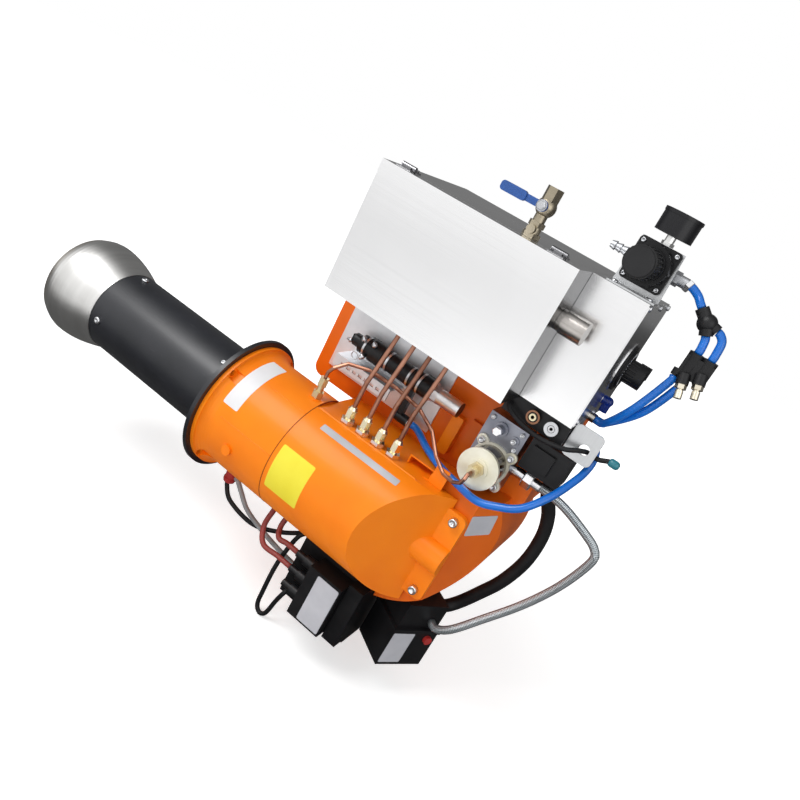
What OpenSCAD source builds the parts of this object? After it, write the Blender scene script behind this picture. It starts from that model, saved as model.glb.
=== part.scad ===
/* [Blast tube and head] */
// Outer diameter of the black blast tube
tube_d = 125; // [110:1:130]
// Wall thickness of the blast tube
tube_wall = 2; // [1.5:0.1:3]
// Length of the tube in front of the mounting face
tube_len = 245; // [200:1:320]
// Length of the stainless head beyond the tube
head_len = 90; // [70:1:110]
// Largest diameter of the stainless head
head_d = 158; // [145:1:164]
// Diameter of the open mouth of the head
mouth_d = 146; // [135:1:156]
// Distance of the air diffuser behind the end of the tube
diffuser_set = 30; // [20:1:60]
// Number of swirl slots in the air diffuser
swirl_slots = 12; // [8:1:16]

/* [Mounting flange] */
// Diameter of the black mounting flange
flange_d = 200; // [196:1:210]
// Thickness of the mounting flange
flange_t = 6; // [5:0.5:10]
// Distance of the stud circle inside the rim of the flange
stud_inset = 12; // [10:0.5:13]
// Diameter of each stud hole
stud_hole_d = 9; // [7:0.5:10]

/* [Front duct and main housing] */
// Outer diameter of the cast front duct
duct_d = 164; // [158:1:168]
// Length of the front duct behind the flange
duct_len = 116; // [100:1:125]
// Wall thickness of the castings
cast_wall = 4; // [3:0.5:5]
// Height of the flat ledge above the tube axis
ledge_z = 78; // [74:1:80]
// Where the slanted facet starts on the front
facet_x = 262; // [255:1:268]
// Where the slanted facet ends at the bolt ear
facet_end_x = 332; // [325:1:338]
// Outer edge of the bolt ears
ear_end_x = 357; // [352:1:362]
// Half height of the bolt ear plate
ear_half_h = 65; // [60:1:72]
// Distance of the fan housing wall behind the tube axis
wall_y = 75; // [72:1:80]

/* [Fan housing] */
// Radius of the round fan scroll
scroll_r = 140; // [136:1:145]
// Place of the fan axis along the burner
fan_x = 250; // [245:1:255]
// Height of the fan axis
fan_z = 25; // [20:1:30]
// Depth of the fan housing
scroll_depth = 110; // [100:1:120]
// Outer diameter of the fan wheel
fan_d = 200; // [180:1:204]
// Width of the fan wheel
fan_w = 62; // [50:1:66]
// Number of fan blades
fan_blades = 32; // [24:1:40]
// Outer diameter of the air inlet ring
inlet_d = 176; // [160:1:184]
// Width of the air inlet ring
inlet_w = 38; // [30:1:45]
// Diameter of the motor
motor_d = 112; // [100:1:124]
// Length of the motor
motor_len = 130; // [110:1:150]
// Diameter of the motor shaft
shaft_d = 14; // [12:1:18]

/* [Oil tank] */
// Width of the stainless oil tank
tank_w = 260; // [240:1:261]
// Depth of the oil tank
tank_depth = 250; // [230:1:260]
// Height of the oil tank with its lid
tank_h = 163.5; // [150:0.5:170]
// Sheet thickness of the tank
sheet_t = 2; // [1.5:0.1:2.5]
// Depth of the fixed strip in front of the lid
strip_w = 25; // [22:1:28]
// Diameter of the heater coupling on the tank side
coupling_d = 28; // [22:1:34]

/* [Control cabinet] */
// Width of the control cabinet
cab_w = 70; // [64:1:74]
// Depth of the control cabinet
cab_depth = 166; // [150:1:180]
// Height of the control cabinet
cab_h = 160; // [150:1:165]
// Diameter of the thermostat dial
dial_d = 60; // [50:1:64]
// Diameter of the thermostat knob
dial_knob_d = 30; // [24:1:34]

/* [Air regulator] */
// Width of the square regulator flange
reg_w = 50; // [46:1:52]
// Diameter of the regulator bonnet
bonnet_d = 46; // [40:1:48]
// Diameter of the regulator knob
reg_knob_d = 36; // [30:1:38]
// Diameter of the pressure gauge
gauge_d = 44; // [38:1:48]
// Height of the pressure gauge drum
gauge_h = 26; // [20:1:30]

/* [Pump] */
// Diameter of the round pump cover disc
pump_disc_d = 52; // [46:1:56]
// Diameter of the pump barrel
pump_barrel_d = 46; // [40:1:48]
// Width of the pump flange over its ears
pump_flange_w = 58; // [54:1:60]

/* [Oil heater] */
// Diameter of the oil heater barrel
heater_d = 26; // [22:1:30]
// Length of the oil heater barrel
heater_len = 118; // [100:1:124]
// Length of the bright end cap
heater_cap_len = 34; // [26:1:36]

/* [Pipes and hoses] */
// Diameter of the four copper pipes
pipe_d = 6; // [5:0.5:8]
// Spacing of the four copper pipes
pipe_pitch = 24.5; // [23:0.5:25]
// Diameter of the thin copper pipe
thin_pipe_d = 5; // [4:0.5:6]
// Diameter of the blue air hoses
hose_d = 8; // [7:0.5:9]
// Diameter of the braided oil hose
braid_d = 11; // [9:0.5:12]
// Diameter of the black cable conduit
conduit_d = 18; // [14:1:19]
// Diameter of the ignition leads
lead_d = 6; // [5:0.5:7]
// Diameter of the thin cables
cable_d = 5; // [4:0.5:6]

/* [Hidden] */
$fn = 48;

// Gap between pieces of one body that only lie against each other
seat_gap = 0.3;
// Radial gap of a pin or shaft that turns
run_gap = 0.05;
// A little extra for cuts that pass through a face
over = 1;

// Colours
steel_c = "gainsboro";
cast_c = "darkorange";
black_c = "#1c1c20";
brass_c = "goldenrod";
zinc_c = "#e6e2cc";
copper_c = "peru";
blue_c = "royalblue";

// Radii and places that follow from the sizes above
tube_r = tube_d / 2;
duct_r = duct_d / 2;
stud_pcd = flange_d - 2 * stud_inset;
seam_x = flange_t + duct_len;
flare_r = flange_d / 2 - 7;
flare_len = 18;
web_t = 6;
nut_room = 16;
mouth_x = -tube_len - head_len;
bulge_x = -tube_len - 0.76 * head_len;
tube_tail = 10;
facet_slope = (facet_end_x - facet_x) / duct_r;
facet_shift = cast_wall * sqrt(1 + facet_slope * facet_slope);
back_x = 300;
ear_t = 8;
ear_bolt_z = 54;
ear_bolt_x = ear_end_x - 14;
back_y = wall_y + scroll_depth;
cover_t = 4;
left_x = 40;
right_x = fan_x + scroll_r;
shoulder_z = 72;
tank_z = 218.5;
tank_x = 65;
tank_y = -37;
tank_top = tank_z + tank_h;
tank_end_x = tank_x + tank_w;
lid_t = 2;
lid_y = tank_y + strip_w;
lid_end_x = tank_end_x - 15;
leaf_gap = 3.6;
hinge_z = tank_top + 3.6;
hinge_r = 3.2;
hinge_len = 20;
hinge_xs = [tank_x + 22, tank_end_x - 34];
valve_x = 249;
valve_y = lid_y + 16;
lever_z = tank_top + 36;
cab_x = tank_end_x + seat_gap;
cab_y = 24;
cab_z = tank_top - cab_h;
cab_end_x = cab_x + cab_w;
coupling_z = 324;
coupling_y = 0;
dial_y = 112;
dial_z = 297;
reg_x = 369;
reg_y = 56;
reg_z = 416;
gland_top = cab_z - seat_gap;
gland_h = 26;
plate_y = 40;
pump_x = 333;
pump_z = 126;
pump_face_y = 40;
heater_x = 104;
heater_end_x = heater_x + heater_len;
heater_y = 50;
heater_z = 156;
port_x = 108;
port_y = -12;
pipe_xs = [for (i = [0:3]) 162 + i * pipe_pitch];
pipe_y = -12;
cell_x = 41;
cell_y = -10;
trans_x = 185;
trans_end_x = 298;
trans_y = -10;
trans_top = -duct_r - seat_gap;
trans_h = 106;
front_x = 222;
front_end_x = 275;
front_y = -44;
term_y = -28;
term_zs = [-108, -133, -158];
ctrl_x = 350;
ctrl_y = 0;
ctrl_angle = 56.3;
ctrl_len = 72;
ctrl_w = 60;
ctrl_top = -100;
ctrl_h = 84;
button_along = 58;
button_z = -136;
block_x = 466;
block_y = 66;
block_z = 343;
screw_tilt = -20;

// Routes of the hoses and cables, as points from end to end
hose_outlet_route = [[411, 75.6, 416], [417, 75.6, 415.6], [427, 74, 411],
    [433.5, 71, 405.65], [437.36, 71, 402.44]];
hose_upper_1_route = [[457.2, 69, 378.85], [459.3, 69, 374.3], [461, 66, 364],
    [461, 66, 359.3]];
hose_upper_2_route = [[464.82, 71, 388.3], [469, 71, 387.17], [475, 69.4, 380.5],
    [477, 66, 366], [477, 66, 359.3]];
hose_lower_1_route = [[453, 66, 326.7], [453, 66, 318], [437, 71, 270], [418, 92, 233],
    [410, 98, 228.3], [404, 98, 228]];
hose_lower_2_route = [[464.5, 69, 326.7], [464.5, 69, 318], [447, 80, 270],
    [419, 105, 232], [410, 112, 226.3], [404, 112, 226]];
hose_long_route = [[409.3, 62, 214], [417, 62, 214], [428, 61.5, 208], [433, 58, 195],
    [433, 50, 182], [430, 36, 170], [420, 8, 148], [402, -14, 124], [378, -20, 110],
    [354, -18, 100], [322, -3, 96], [290, 8, 96.5], [258, 27, 98], [236, 46, 99.5],
    [224, 54, 100], [213.8, 54, 100]];
sag_route = [[319, 29.7, 208], [319, 24, 208], [327, 19, 202], [345, 18, 196.5],
    [372, 18, 194], [400, 22, 198], [415, 32, 203.5], [424, 48, 203], [437, 47, 203],
    [450, 46, 209], [460, 46, 209]];
conduit_route = [[404, 79, 141.7], [404, 79, 133], [409, 85, 116], [421, 97, 92],
    [429, 104, 60], [429, 106, 16], [418, 106, -28], [402, 104, -62], [386, 102, -92],
    [374, 90.2, -104], [362.9, 73.5, -104]];
braid_route = [[399, 60, 129], [412, 60, 129.4], [440, 60, 125], [476, 60, 112.5],
    [490, 60, 105], [496, 60, 93], [489, 60, 60], [476, 59, 24], [456, 56, -16],
    [430, 48, -56], [404, 36, -92], [385.8, 38.6, -108], [375.8, 45.3, -108]];
lead_1_route = [[-104, -14, 12], [-95, -14, 12], [-30, -20, -22], [60, -22, -48],
    [122, -17, -63], [129, -19, -80], [128, -24, -112], [142, -30, -132],
    [168, -28, -133], [191.7, -28, -133]];
lead_2_route = [[-104, 14, 12], [-95, 14, 12], [-30, 12, -22], [70, 0, -50],
    [140, -5, -61], [148, -10.5, -79], [148, -18, -100], [158, -29, -109],
    [172, -28, -108], [191.7, -28, -108]];
cell_route = [[cell_x, cell_y, -104.3], [cell_x, cell_y, -111], [58, -11, -128],
    [100, -2, -140], [140, 8, -127], [174, 18, -106], [184.7, 18, -106]];
loop_route = [[184.7, -2, -94], [177, -2, -95], [170, -12, -120], [168, -20, -165],
    [169, -20, -208], [178, -21, -231], [190, -21, -207], [197, -22, -178],
    [199, -17, -172], [199, -10.3, -172]];
sleeve_route = [[49.3, -10, -94], [54, -10, -94.3], [66, -9, -106], [84, -6, -124], [112, -5, -134],
    [150, -5, -141], [177, -2, -146], [184.7, -2, -146]];

// Short helpers

// A bar along +X from x1 to x2 with the y-z outline given as children
module along_x(x1, x2) {
    translate([x1, 0, 0]) rotate([90, 0, 90]) linear_extrude(x2 - x1) children();
}

// A body along +Y from y1 to y2 with the x-z outline given as children
module along_y(y1, y2) {
    translate([0, y2, 0]) rotate([90, 0, 0]) linear_extrude(y2 - y1) children();
}

// A revolved body about the X axis, with the profile given as x and radius
module turned_x(profile) {
    rotate([0, 90, 0]) rotate_extrude($fn = 96)
        polygon([for (p = profile) [p[1], p[0]]]);
}

// A round bar along +X
module rod_x(x1, x2, r) {
    translate([x1, 0, 0]) rotate([0, 90, 0]) cylinder(h = x2 - x1, r = r);
}

// A round bar along +Y
module rod_y(y1, y2, r) {
    translate([0, y2, 0]) rotate([90, 0, 0]) cylinder(h = y2 - y1, r = r);
}

// A rectangle with round corners, centred
module round_rect(w, h, r) {
    union() {
        square([w, h - 2 * r], center = true);
        square([w - 2 * r, h], center = true);
        for (sx = [-1, 1], sy = [-1, 1])
            translate([sx * (w / 2 - r), sy * (h / 2 - r)]) circle(r = r);
    }
}

// A hexagonal nut standing on z = 0, by the width over its flats
module hex_nut(flats, h) {
    cylinder(h = h, d = flats / cos(30), $fn = 6);
}

// A box between two corners
module block(a, b) {
    translate(a) cube(b - a);
}

function unit(v) = v / norm(v);
function tangent(p, i) =
    unit(p[min(i + 1, len(p) - 1)] - p[max(i - 1, 0)]);
function first_side(t) = unit(cross(t, abs(t[2]) < 0.9 ? [0, 0, 1] : [1, 0, 0]));
function next_side(u, t) = unit(u - t * (u * t));
// The sideways direction of each ring, carried along the route without twist
function sides(p, i = 0, u = undef) =
    i == len(p) ? [] :
    let (t = tangent(p, i), s = i == 0 ? first_side(t) : next_side(u, t))
    concat([s], sides(p, i + 1, s));

// A round tube that follows a route, one ring at each point
module swept_tube(p, d, n = 8) {
    s = sides(p);
    rings = [for (i = [0:len(p) - 1], j = [0:n - 1])
        let (t = tangent(p, i), a = 360 * j / n)
        p[i] + d / 2 * (cos(a) * s[i] + sin(a) * cross(t, s[i]))];
    walls = [for (i = [0:len(p) - 2], j = [0:n - 1])
        let (a = i * n + j, b = i * n + (j + 1) % n)
        each [[a, a + n, b + n], [a, b + n, b]]];
    start = [for (j = [0:n - 1]) j];
    end = [for (j = [n - 1:-1:0]) (len(p) - 1) * n + j];
    polyhedron(points = rings, faces = concat([start], walls, [end]));
}

// Blast tube, head and what stands in them

module blast_tube() {
    color(black_c) turned_x([[-tube_len, tube_r - tube_wall], [-tube_len, tube_r],
        [flange_t + web_t + tube_tail, tube_r],
        [flange_t + web_t + tube_tail, tube_r - tube_wall]]);
}

// Radius of the head, which swells from the tube and draws in at the mouth
function head_r(x) = x > bulge_x
    ? tube_r + 0.6 + (head_d / 2 - tube_r - 0.6) * sin(90 * (-tube_len - x)
        / (-tube_len - bulge_x))
    : head_d / 2 - (head_d - mouth_d) / 2 * (1 - cos(90 * (bulge_x - x)
        / (bulge_x - mouth_x)));

module nozzle_head() {
    steps = 14;
    wall = 2;
    spigot = 14;
    spigot_r = tube_r - tube_wall - seat_gap;
    xs = [for (i = [0:steps]) -tube_len - seat_gap - (head_len - seat_gap) * i / steps];
    outer = [for (x = xs) [x, head_r(x)]];
    inner = [for (i = [steps:-1:1]) [xs[i], head_r(xs[i]) - wall]];
    color(steel_c) turned_x(concat(outer, inner, [[-tube_len - wall, spigot_r - wall],
        [-tube_len + spigot, spigot_r - wall], [-tube_len + spigot, spigot_r],
        [-tube_len - seat_gap, spigot_r]]));
}

module mount_flange() {
    color(black_c) difference() {
        rod_x(0, flange_t, flange_d / 2, $fn = 96);
        rod_x(-over, flange_t + over, tube_r + seat_gap, $fn = 96);
        stud_holes();
    }
}

// Holes for the four studs, with room for their nuts behind the flared rim
module stud_holes() {
    for (a = [45:90:315]) rotate([a, 0, 0]) {
        translate([0, 0, stud_pcd / 2]) rod_x(-over, flange_t + web_t + over, stud_hole_d / 2);
        block([flange_t + web_t, -nut_room / 2, duct_r - 1],
            [flange_t + web_t + flare_len + over, nut_room / 2, flange_d / 2]);
    }
}

module air_diffuser() {
    face_x = -tube_len + diffuser_set;
    rim_r = tube_r - tube_wall - 3;
    bore_r = 16;
    hub_x = face_x + 66;
    color("silver") union() {
        difference() {
            rod_x(face_x, face_x + 2, rim_r, $fn = 96);
            rod_x(face_x - over, face_x + 3, bore_r);
            for (i = [0:swirl_slots - 1]) rotate([360 * i / swirl_slots, 0, 0])
                translate([face_x - over, -1.5, bore_r + 7]) cube([4, 3, rim_r - bore_r - 13]);
            for (s = [-1, 1]) translate([0, s * 14, 12]) rod_x(face_x - over, face_x + 3, 3);
        }
        for (a = [90, 180, 270]) rotate([a, 0, 0]) {
            translate([0, 0, 19]) rod_x(face_x + 1, hub_x + 8, 2.5);
            block([hub_x, -2.5, 9], [hub_x + 8, 2.5, 19]);
        }
        difference() {
            rod_x(hub_x, hub_x + 8, 11);
            rod_x(hub_x - over, hub_x + 9, 7);
        }
    }
}

module oil_lance() {
    tip_x = -tube_len + diffuser_set - 4;
    color(brass_c) union() {
        rod_x(tip_x + 20, port_x, 6);
        rod_x(tip_x + 2, tip_x + 10, 8);
        rod_x(tip_x + 10, tip_x + 22, 9.2, $fn = 6);
        rod_x(tip_x, tip_x + 3, 4);
        block([port_x - 9, port_y - 8, -8], [port_x + 9, 8, 8]);
        translate([port_x, port_y, 0]) cylinder(h = duct_r + 10, r = 5);
        translate([port_x, port_y, duct_r]) hex_nut(13, 9);
        translate([port_x, port_y, duct_r + 9]) cylinder(h = 9, r = 4.6);
        translate([port_x, port_y, duct_r + 17]) hex_nut(11, 12);
    }
}

module electrodes() {
    base_x = -tube_len + 80;
    socket_x = -tube_len + 140.7;
    clamp_x = -tube_len + 117;
    clamp_t = 8;
    rod_end = -tube_len + diffuser_set - 6;
    color("ivory") union() {
        for (s = [-1, 1]) translate([0, s * 14, 12]) {
            rod_x(base_x, socket_x, 4.5);
            rod_x(rod_end, base_x, 1.3);
            rod_x(rod_end - 8, rod_end + 1, 2);
        }
        difference() {
            union() {
                rod_x(clamp_x, clamp_x + clamp_t, 10);
                block([clamp_x, -14, 4], [clamp_x + clamp_t, 14, 14]);
            }
            rod_x(clamp_x - over, clamp_x + clamp_t + over, 6 + seat_gap);
        }
    }
}

module photocell() {
    color("firebrick") translate([cell_x, cell_y, 0]) union() {
        translate([0, 0, -duct_r - 22]) cylinder(h = 20, r = 8);
        translate([0, 0, -duct_r - 8]) cylinder(h = 22, r = 5);
        translate([0, 0, -duct_r - 19]) cylinder(h = 3, r = 9);
    }
}

// Castings

module front_duct() {
    curve = [for (a = [0:15:90])
        [flange_t + web_t + flare_len - flare_len * cos(a),
         duct_r + (flare_r - duct_r) * (1 - sin(a))]];
    color(cast_c) difference() {
        union() {
            turned_x(concat([[flange_t + seat_gap, tube_r + seat_gap],
                [flange_t + seat_gap, flare_r]], curve,
                [[seam_x, duct_r], [seam_x, duct_r - cast_wall],
                [flange_t + web_t, duct_r - cast_wall], [flange_t + web_t, tube_r + seat_gap]]));
            // Flat seat of the small oil fitting
            translate([port_x, port_y, duct_r - 6]) cylinder(h = 5.7, r = 9);
            // Moulded boss beside the parting line
            translate([62, -duct_r + 4, -20]) rotate([90, 0, 0]) cylinder(h = 6, r = 7);
            translate([cell_x, cell_y, -duct_r - 1.7]) cylinder(h = 7, r = 8.6);
        }
        stud_holes();
        translate([port_x, port_y, 0]) cylinder(h = duct_r + 10, r = 5 + seat_gap);
        translate([cell_x, cell_y, -duct_r - 10]) cylinder(h = 30, r = 5 + seat_gap);
    }
}

// Outline of the main housing across the burner
module housing_outline(inset) {
    back = inset > 0 ? wall_y + over : wall_y - seat_gap;
    intersection() {
        union() {
            circle(r = duct_r - inset, $fn = 96);
            translate([0, -duct_r + inset]) square([back, duct_r + ledge_z - 2 * inset]);
        }
        translate([-duct_r, -duct_r]) square([duct_r + back, duct_r + ledge_z - inset]);
    }
}

// Plan of the main housing, with the slanted facet on its right
module housing_plan(inset, end_x, ear_y) {
    y1 = -duct_r - over;
    polygon([[seam_x + (inset > 0 ? -over : 0), y1],
        [facet_x - over * facet_slope - inset / cast_wall * facet_shift, y1],
        [facet_x + (duct_r + ear_y) * facet_slope - inset / cast_wall * facet_shift, ear_y],
        [end_x, ear_y], [end_x, wall_y + over], [seam_x + (inset > 0 ? -over : 0), wall_y + over]]);
}

module main_housing() {
    color(cast_c) difference() {
        union() {
            intersection() {
                along_x(seam_x, ear_end_x) housing_outline(0);
                translate([0, 0, -duct_r - over]) linear_extrude(2 * duct_r + 2 * over)
                    housing_plan(0, back_x, 0);
            }
            // Bolt ear plate
            along_y(-ear_t / 2, ear_t / 2) translate([(back_x - 20 + ear_end_x) / 2, 0])
                round_rect(ear_end_x - back_x + 20, 2 * ear_half_h, 9);
            // Half-round boss across the ear
            intersection() {
                rod_x(back_x, ear_end_x, 20);
                block([back_x, -30, -30], [ear_end_x, 0, 30]);
            }
            // Raised bead along the edge of the ledge
            along_x(seam_x + 4, back_x - 20) translate([-23, ledge_z - 1]) circle(r = 2.2);
        }
        intersection() {
            along_x(seam_x - over, ear_end_x) housing_outline(cast_wall);
            translate([0, 0, -duct_r - over]) linear_extrude(2 * duct_r + 2 * over)
                housing_plan(cast_wall, back_x - cast_wall, -ear_t / 2);
        }
        for (z = [-ear_bolt_z, ear_bolt_z]) translate([ear_bolt_x, 0, z]) rod_y(-over - ear_t,
            ear_t, 3.3);
        for (x = pipe_xs) translate([x, pipe_y, ledge_z - 10]) cylinder(h = 20, r = 5 + seat_gap);
        // Ways out for the two ignition leads
        translate([lead_1_route[5][0], -19, -duct_r - 10]) cylinder(h = 26, r = lead_d / 2 + 2);
        translate([lead_2_route[5][0], -11, -duct_r - 10]) cylinder(h = 26, r = lead_d / 2 + 2);
    }
}

// Outline of the fan housing seen from the front
module scroll_outline(inset) {
    union() {
        translate([fan_x, fan_z]) circle(r = scroll_r - inset, $fn = 96);
        if (inset == 0)
            translate([(left_x + right_x) / 2, (shoulder_z + tank_z - seat_gap) / 2])
                round_rect(right_x - left_x, tank_z - seat_gap - shoulder_z, 14);
    }
}

module fan_housing() {
    duct_end_x = seam_x + seat_gap;
    color(cast_c) difference() {
        union() {
            along_y(wall_y, back_y - cover_t) scroll_outline(0);
            // Part of the scroll that swells forward to the bolt ears
            intersection() {
                along_y(0, wall_y + over) translate([fan_x, fan_z])
                    circle(r = scroll_r, $fn = 96);
                translate([0, 0, -110]) linear_extrude(200) polygon([
                    [back_x + seat_gap, ear_t / 2 + seat_gap],
                    [ear_end_x, ear_t / 2 + seat_gap],
                    [right_x, wall_y - 14], [right_x, wall_y + over],
                    [back_x + seat_gap, wall_y + over]]);
            }
            // Upright rib on the wall beside the pump
            block([282, wall_y - 8, 92], [297, wall_y + over, 150]);
        }
        // Inside of the scroll, closed round the end of the front duct
        difference() {
            along_y(wall_y + cast_wall, back_y) scroll_outline(cast_wall);
            rod_x(0, duct_end_x + cast_wall, duct_r + seat_gap + cast_wall, $fn = 96);
        }
        rod_x(0, duct_end_x, duct_r + seat_gap, $fn = 96);
        // Air passage to the main housing
        block([seam_x + 6, wall_y - over, -60], [228, wall_y + cast_wall + over, 60]);
    }
}

// Windows round the air inlet, shared by the ring and the band that closes them
module inlet_windows(r1, r2) {
    for (a = [0:60:300]) translate([fan_x, 0, fan_z]) rotate([0, a, 0])
        block([r1, back_y + 8, -20], [r2, back_y + inlet_w - 8, 20]);
}

module air_inlet() {
    ring_r = inlet_d / 2;
    color(cast_c) difference() {
        union() {
            along_y(back_y - cover_t + seat_gap, back_y) scroll_outline(0);
            translate([fan_x, 0, fan_z]) rod_y(back_y - over, back_y + inlet_w, ring_r, $fn = 96);
        }
        translate([fan_x, 0, fan_z]) rod_y(back_y - cover_t - over, back_y + inlet_w - 5,
            ring_r - 5, $fn = 96);
        translate([fan_x, 0, fan_z]) rod_y(back_y, back_y + inlet_w + over, shaft_d / 2 + 4);
        inlet_windows(ring_r - 12, ring_r + 8);
    }
}

module air_band() {
    ring_r = inlet_d / 2;
    color("silver") difference() {
        union() {
            translate([fan_x, 0, fan_z]) rod_y(back_y + 3, back_y + inlet_w - 3, ring_r + 3,
                $fn = 96);
            translate([fan_x, 0, fan_z + ring_r + 2]) block([-4, back_y + 14, 0],
                [4, back_y + 24, 14]);
        }
        translate([fan_x, 0, fan_z]) rod_y(back_y, back_y + inlet_w, ring_r + 0.1, $fn = 96);
        inlet_windows(ring_r - 12, ring_r + 8);
    }
}

// One forward-curved blade between two radii, as an arc of short flats
module fan_blade(r1, r2) {
    n = 4;
    outer = [for (i = [0:n]) let (r = r1 + (r2 - r1) * i / n, a = 10 * pow(i / n, 2))
        r * [cos(a), sin(a)]];
    inner = [for (i = [n:-1:0]) let (r = r1 + (r2 - r1) * i / n, a = 10 * pow(i / n, 2) - 1.2)
        r * [cos(a), sin(a)]];
    polygon(concat(outer, inner));
}

module fan_wheel() {
    y1 = wall_y + cast_wall + 14;
    y2 = y1 + fan_w;
    r2 = fan_d / 2;
    r1 = r2 - 20;
    color("lightsteelblue") translate([fan_x, 0, fan_z]) union() {
        rod_y(y1, y1 + 2, r2, $fn = 96);
        along_y(y1 + 2, y2) for (i = [0:fan_blades - 1]) rotate(360 * i / fan_blades)
            fan_blade(r1, r2 - 1);
        difference() {
            rod_y(y2 - 3, y2, r2, $fn = 96);
            rod_y(y2 - 4, y2 + 1, r1 + 6, $fn = 96);
        }
        rod_y(y1, y1 + 24, 14);
        rod_y(y1 + 24, back_y + inlet_w + 30, shaft_d / 2);
    }
}

module motor() {
    y1 = back_y + inlet_w + seat_gap;
    y2 = y1 + motor_len;
    r = motor_d / 2;
    color("dimgray") difference() {
        union() {
            translate([fan_x, 0, fan_z]) {
                rod_y(y1, y1 + 10, r + 4);
                rod_y(y1 + 10, y2 - 34, r - 4);
                for (a = [0:15:345]) rotate([0, a, 0])
                    block([r - 5, y1 + 9, -1.5], [r - 0.5, y2 - 33, 1.5]);
                rod_y(y2 - 34, y2, r);
            }
            // Terminal housing on top of the motor
            block([fan_x - 32, y1 + 26, fan_z + r - 6], [fan_x + 32, y1 + 84, fan_z + r + 26]);
        }
        translate([fan_x, 0, fan_z]) {
            rod_y(y1 - over, y1 + 32, shaft_d / 2 + run_gap);
            // Cooling slots in the end cover
            for (a = [0:30:330]) rotate([0, a, 0])
                block([18, y2 - 4, -2], [40, y2 + over, 2]);
        }
    }
}

// Oil tank with its lid and fill valve

module tank_shell() {
    x2 = tank_end_x;
    y2 = tank_y + tank_depth;
    z1 = tank_z;
    z2 = tank_top - lid_t - seat_gap;
    color(steel_c) difference() {
        union() {
            block([tank_x, tank_y, z1], [x2, y2, z2]);
            block([tank_x, tank_y, z2 - over], [x2, lid_y - 1, tank_top]);
            block([lid_end_x + seat_gap, tank_y, z2 - over], [x2, y2, tank_top]);
            // Fixed halves of the two hinges
            for (x = hinge_xs) {
                block([x - hinge_len / 2, lid_y - 13, tank_top - over],
                    [x + hinge_len / 2, lid_y - leaf_gap, tank_top + 1.6]);
                difference() {
                    translate([x - hinge_len / 4, lid_y, hinge_z]) rod_x(0, hinge_len / 2, hinge_r);
                    block([x - hinge_len, lid_y - 1, z1], [x + hinge_len, lid_y + 9, tank_top + 0.3]);
                }
                block([x - hinge_len / 4, lid_y - 5, tank_top], [x + hinge_len / 4, lid_y - 2, hinge_z]);
            }
        }
        block([tank_x + sheet_t, tank_y + sheet_t, z1 + sheet_t],
            [x2 - sheet_t, y2 - sheet_t, tank_top - sheet_t]);
        translate([0, coupling_y, coupling_z]) rod_x(x2 - 8, x2 + over, 9 + seat_gap);
        for (x = hinge_xs) translate([x, lid_y, hinge_z]) rod_x(-hinge_len, hinge_len, 1.5 + run_gap);
    }
}

module tank_lid() {
    y2 = tank_y + tank_depth;
    z1 = tank_top - lid_t;
    color("silver") difference() {
        union() {
            block([tank_x, lid_y, z1], [lid_end_x, y2, tank_top]);
            for (x = hinge_xs) {
                block([x - hinge_len / 2, lid_y + leaf_gap, tank_top - 0.5],
                    [x + hinge_len / 2, lid_y + 15, tank_top + 1.6]);
                for (s = [-1, 1]) {
                    knuckle_x = x + s * hinge_len * 3 / 8;
                    difference() {
                        translate([knuckle_x, lid_y, hinge_z])
                            rod_x(-hinge_len / 8 + 0.15, hinge_len / 8 - 0.15, hinge_r);
                        block([x - hinge_len, lid_y - 9, z1], [x + hinge_len, lid_y + 1,
                            tank_top + 0.3]);
                    }
                    block([knuckle_x - hinge_len / 8 + 0.15, lid_y + 1.5, tank_top],
                        [knuckle_x + hinge_len / 8 - 0.15, lid_y + 5, hinge_z]);
                    translate([x + s * 6, lid_y + 10, tank_top]) cylinder(h = 4.4, r = 2.8);
                }
                translate([x, lid_y, hinge_z]) rod_x(-hinge_len / 2, hinge_len / 2, 1.5);
            }
        }
        translate([valve_x, valve_y, z1 - over]) cylinder(h = lid_t + 2 * over, r = 7 + seat_gap);
    }
}

module valve_body() {
    color("darkkhaki") translate([valve_x, valve_y, 0]) {
        translate([0, 0, tank_top - 8]) cylinder(h = 16, r = 7);
        translate([0, 0, tank_top + seat_gap]) hex_nut(19, 6);
        translate([0, 0, tank_top + 6]) cylinder(h = 8, r = 8);
        translate([0, 0, tank_top + 13]) hex_nut(17, 6);
        translate([0, 0, tank_top + 19]) cylinder(h = 10, r = 7);
        difference() {
            union() {
                translate([0, 0, lever_z]) sphere(r = 11.5);
                translate([0, 0, lever_z]) hex_nut(17, 22);
            }
            translate([0, 0, lever_z + 9]) cylinder(h = 20, r = 6);
        }
        // Blank plug of the side port
        translate([0, 0, tank_top + 10]) rod_y(-13, 0, 5);
        // Stem that carries the lever
        translate([0, 0, lever_z]) {
            rod_y(-14.5, 0, 5.5);
            rod_y(-19, 0, 3);
        }
    }
}

module valve_lever() {
    y1 = -17;
    color(blue_c) translate([valve_x, valve_y, lever_z]) difference() {
        union() {
            rod_y(y1, -14.8, 6.5);
            block([-26, y1, -4], [0, -14.8, 4]);
            along_y(y1 - 2, -12.8) translate([-36, 0]) round_rect(32, 11, 4);
        }
        rod_y(y1 - 4, 0, 3 + run_gap);
    }
}

module heater_coupling() {
    color("silver") translate([0, coupling_y, coupling_z]) union() {
        rod_x(tank_end_x + seat_gap, tank_end_x + 12, coupling_d / 2 - 1.5);
        rod_x(tank_end_x + 6, tank_end_x + 33, coupling_d / 2);
        rod_x(tank_end_x - 12, tank_end_x + 3, 9);
        rod_x(tank_x + 30, tank_end_x - 8, 6);
    }
}

// Control cabinet and what it carries

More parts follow.
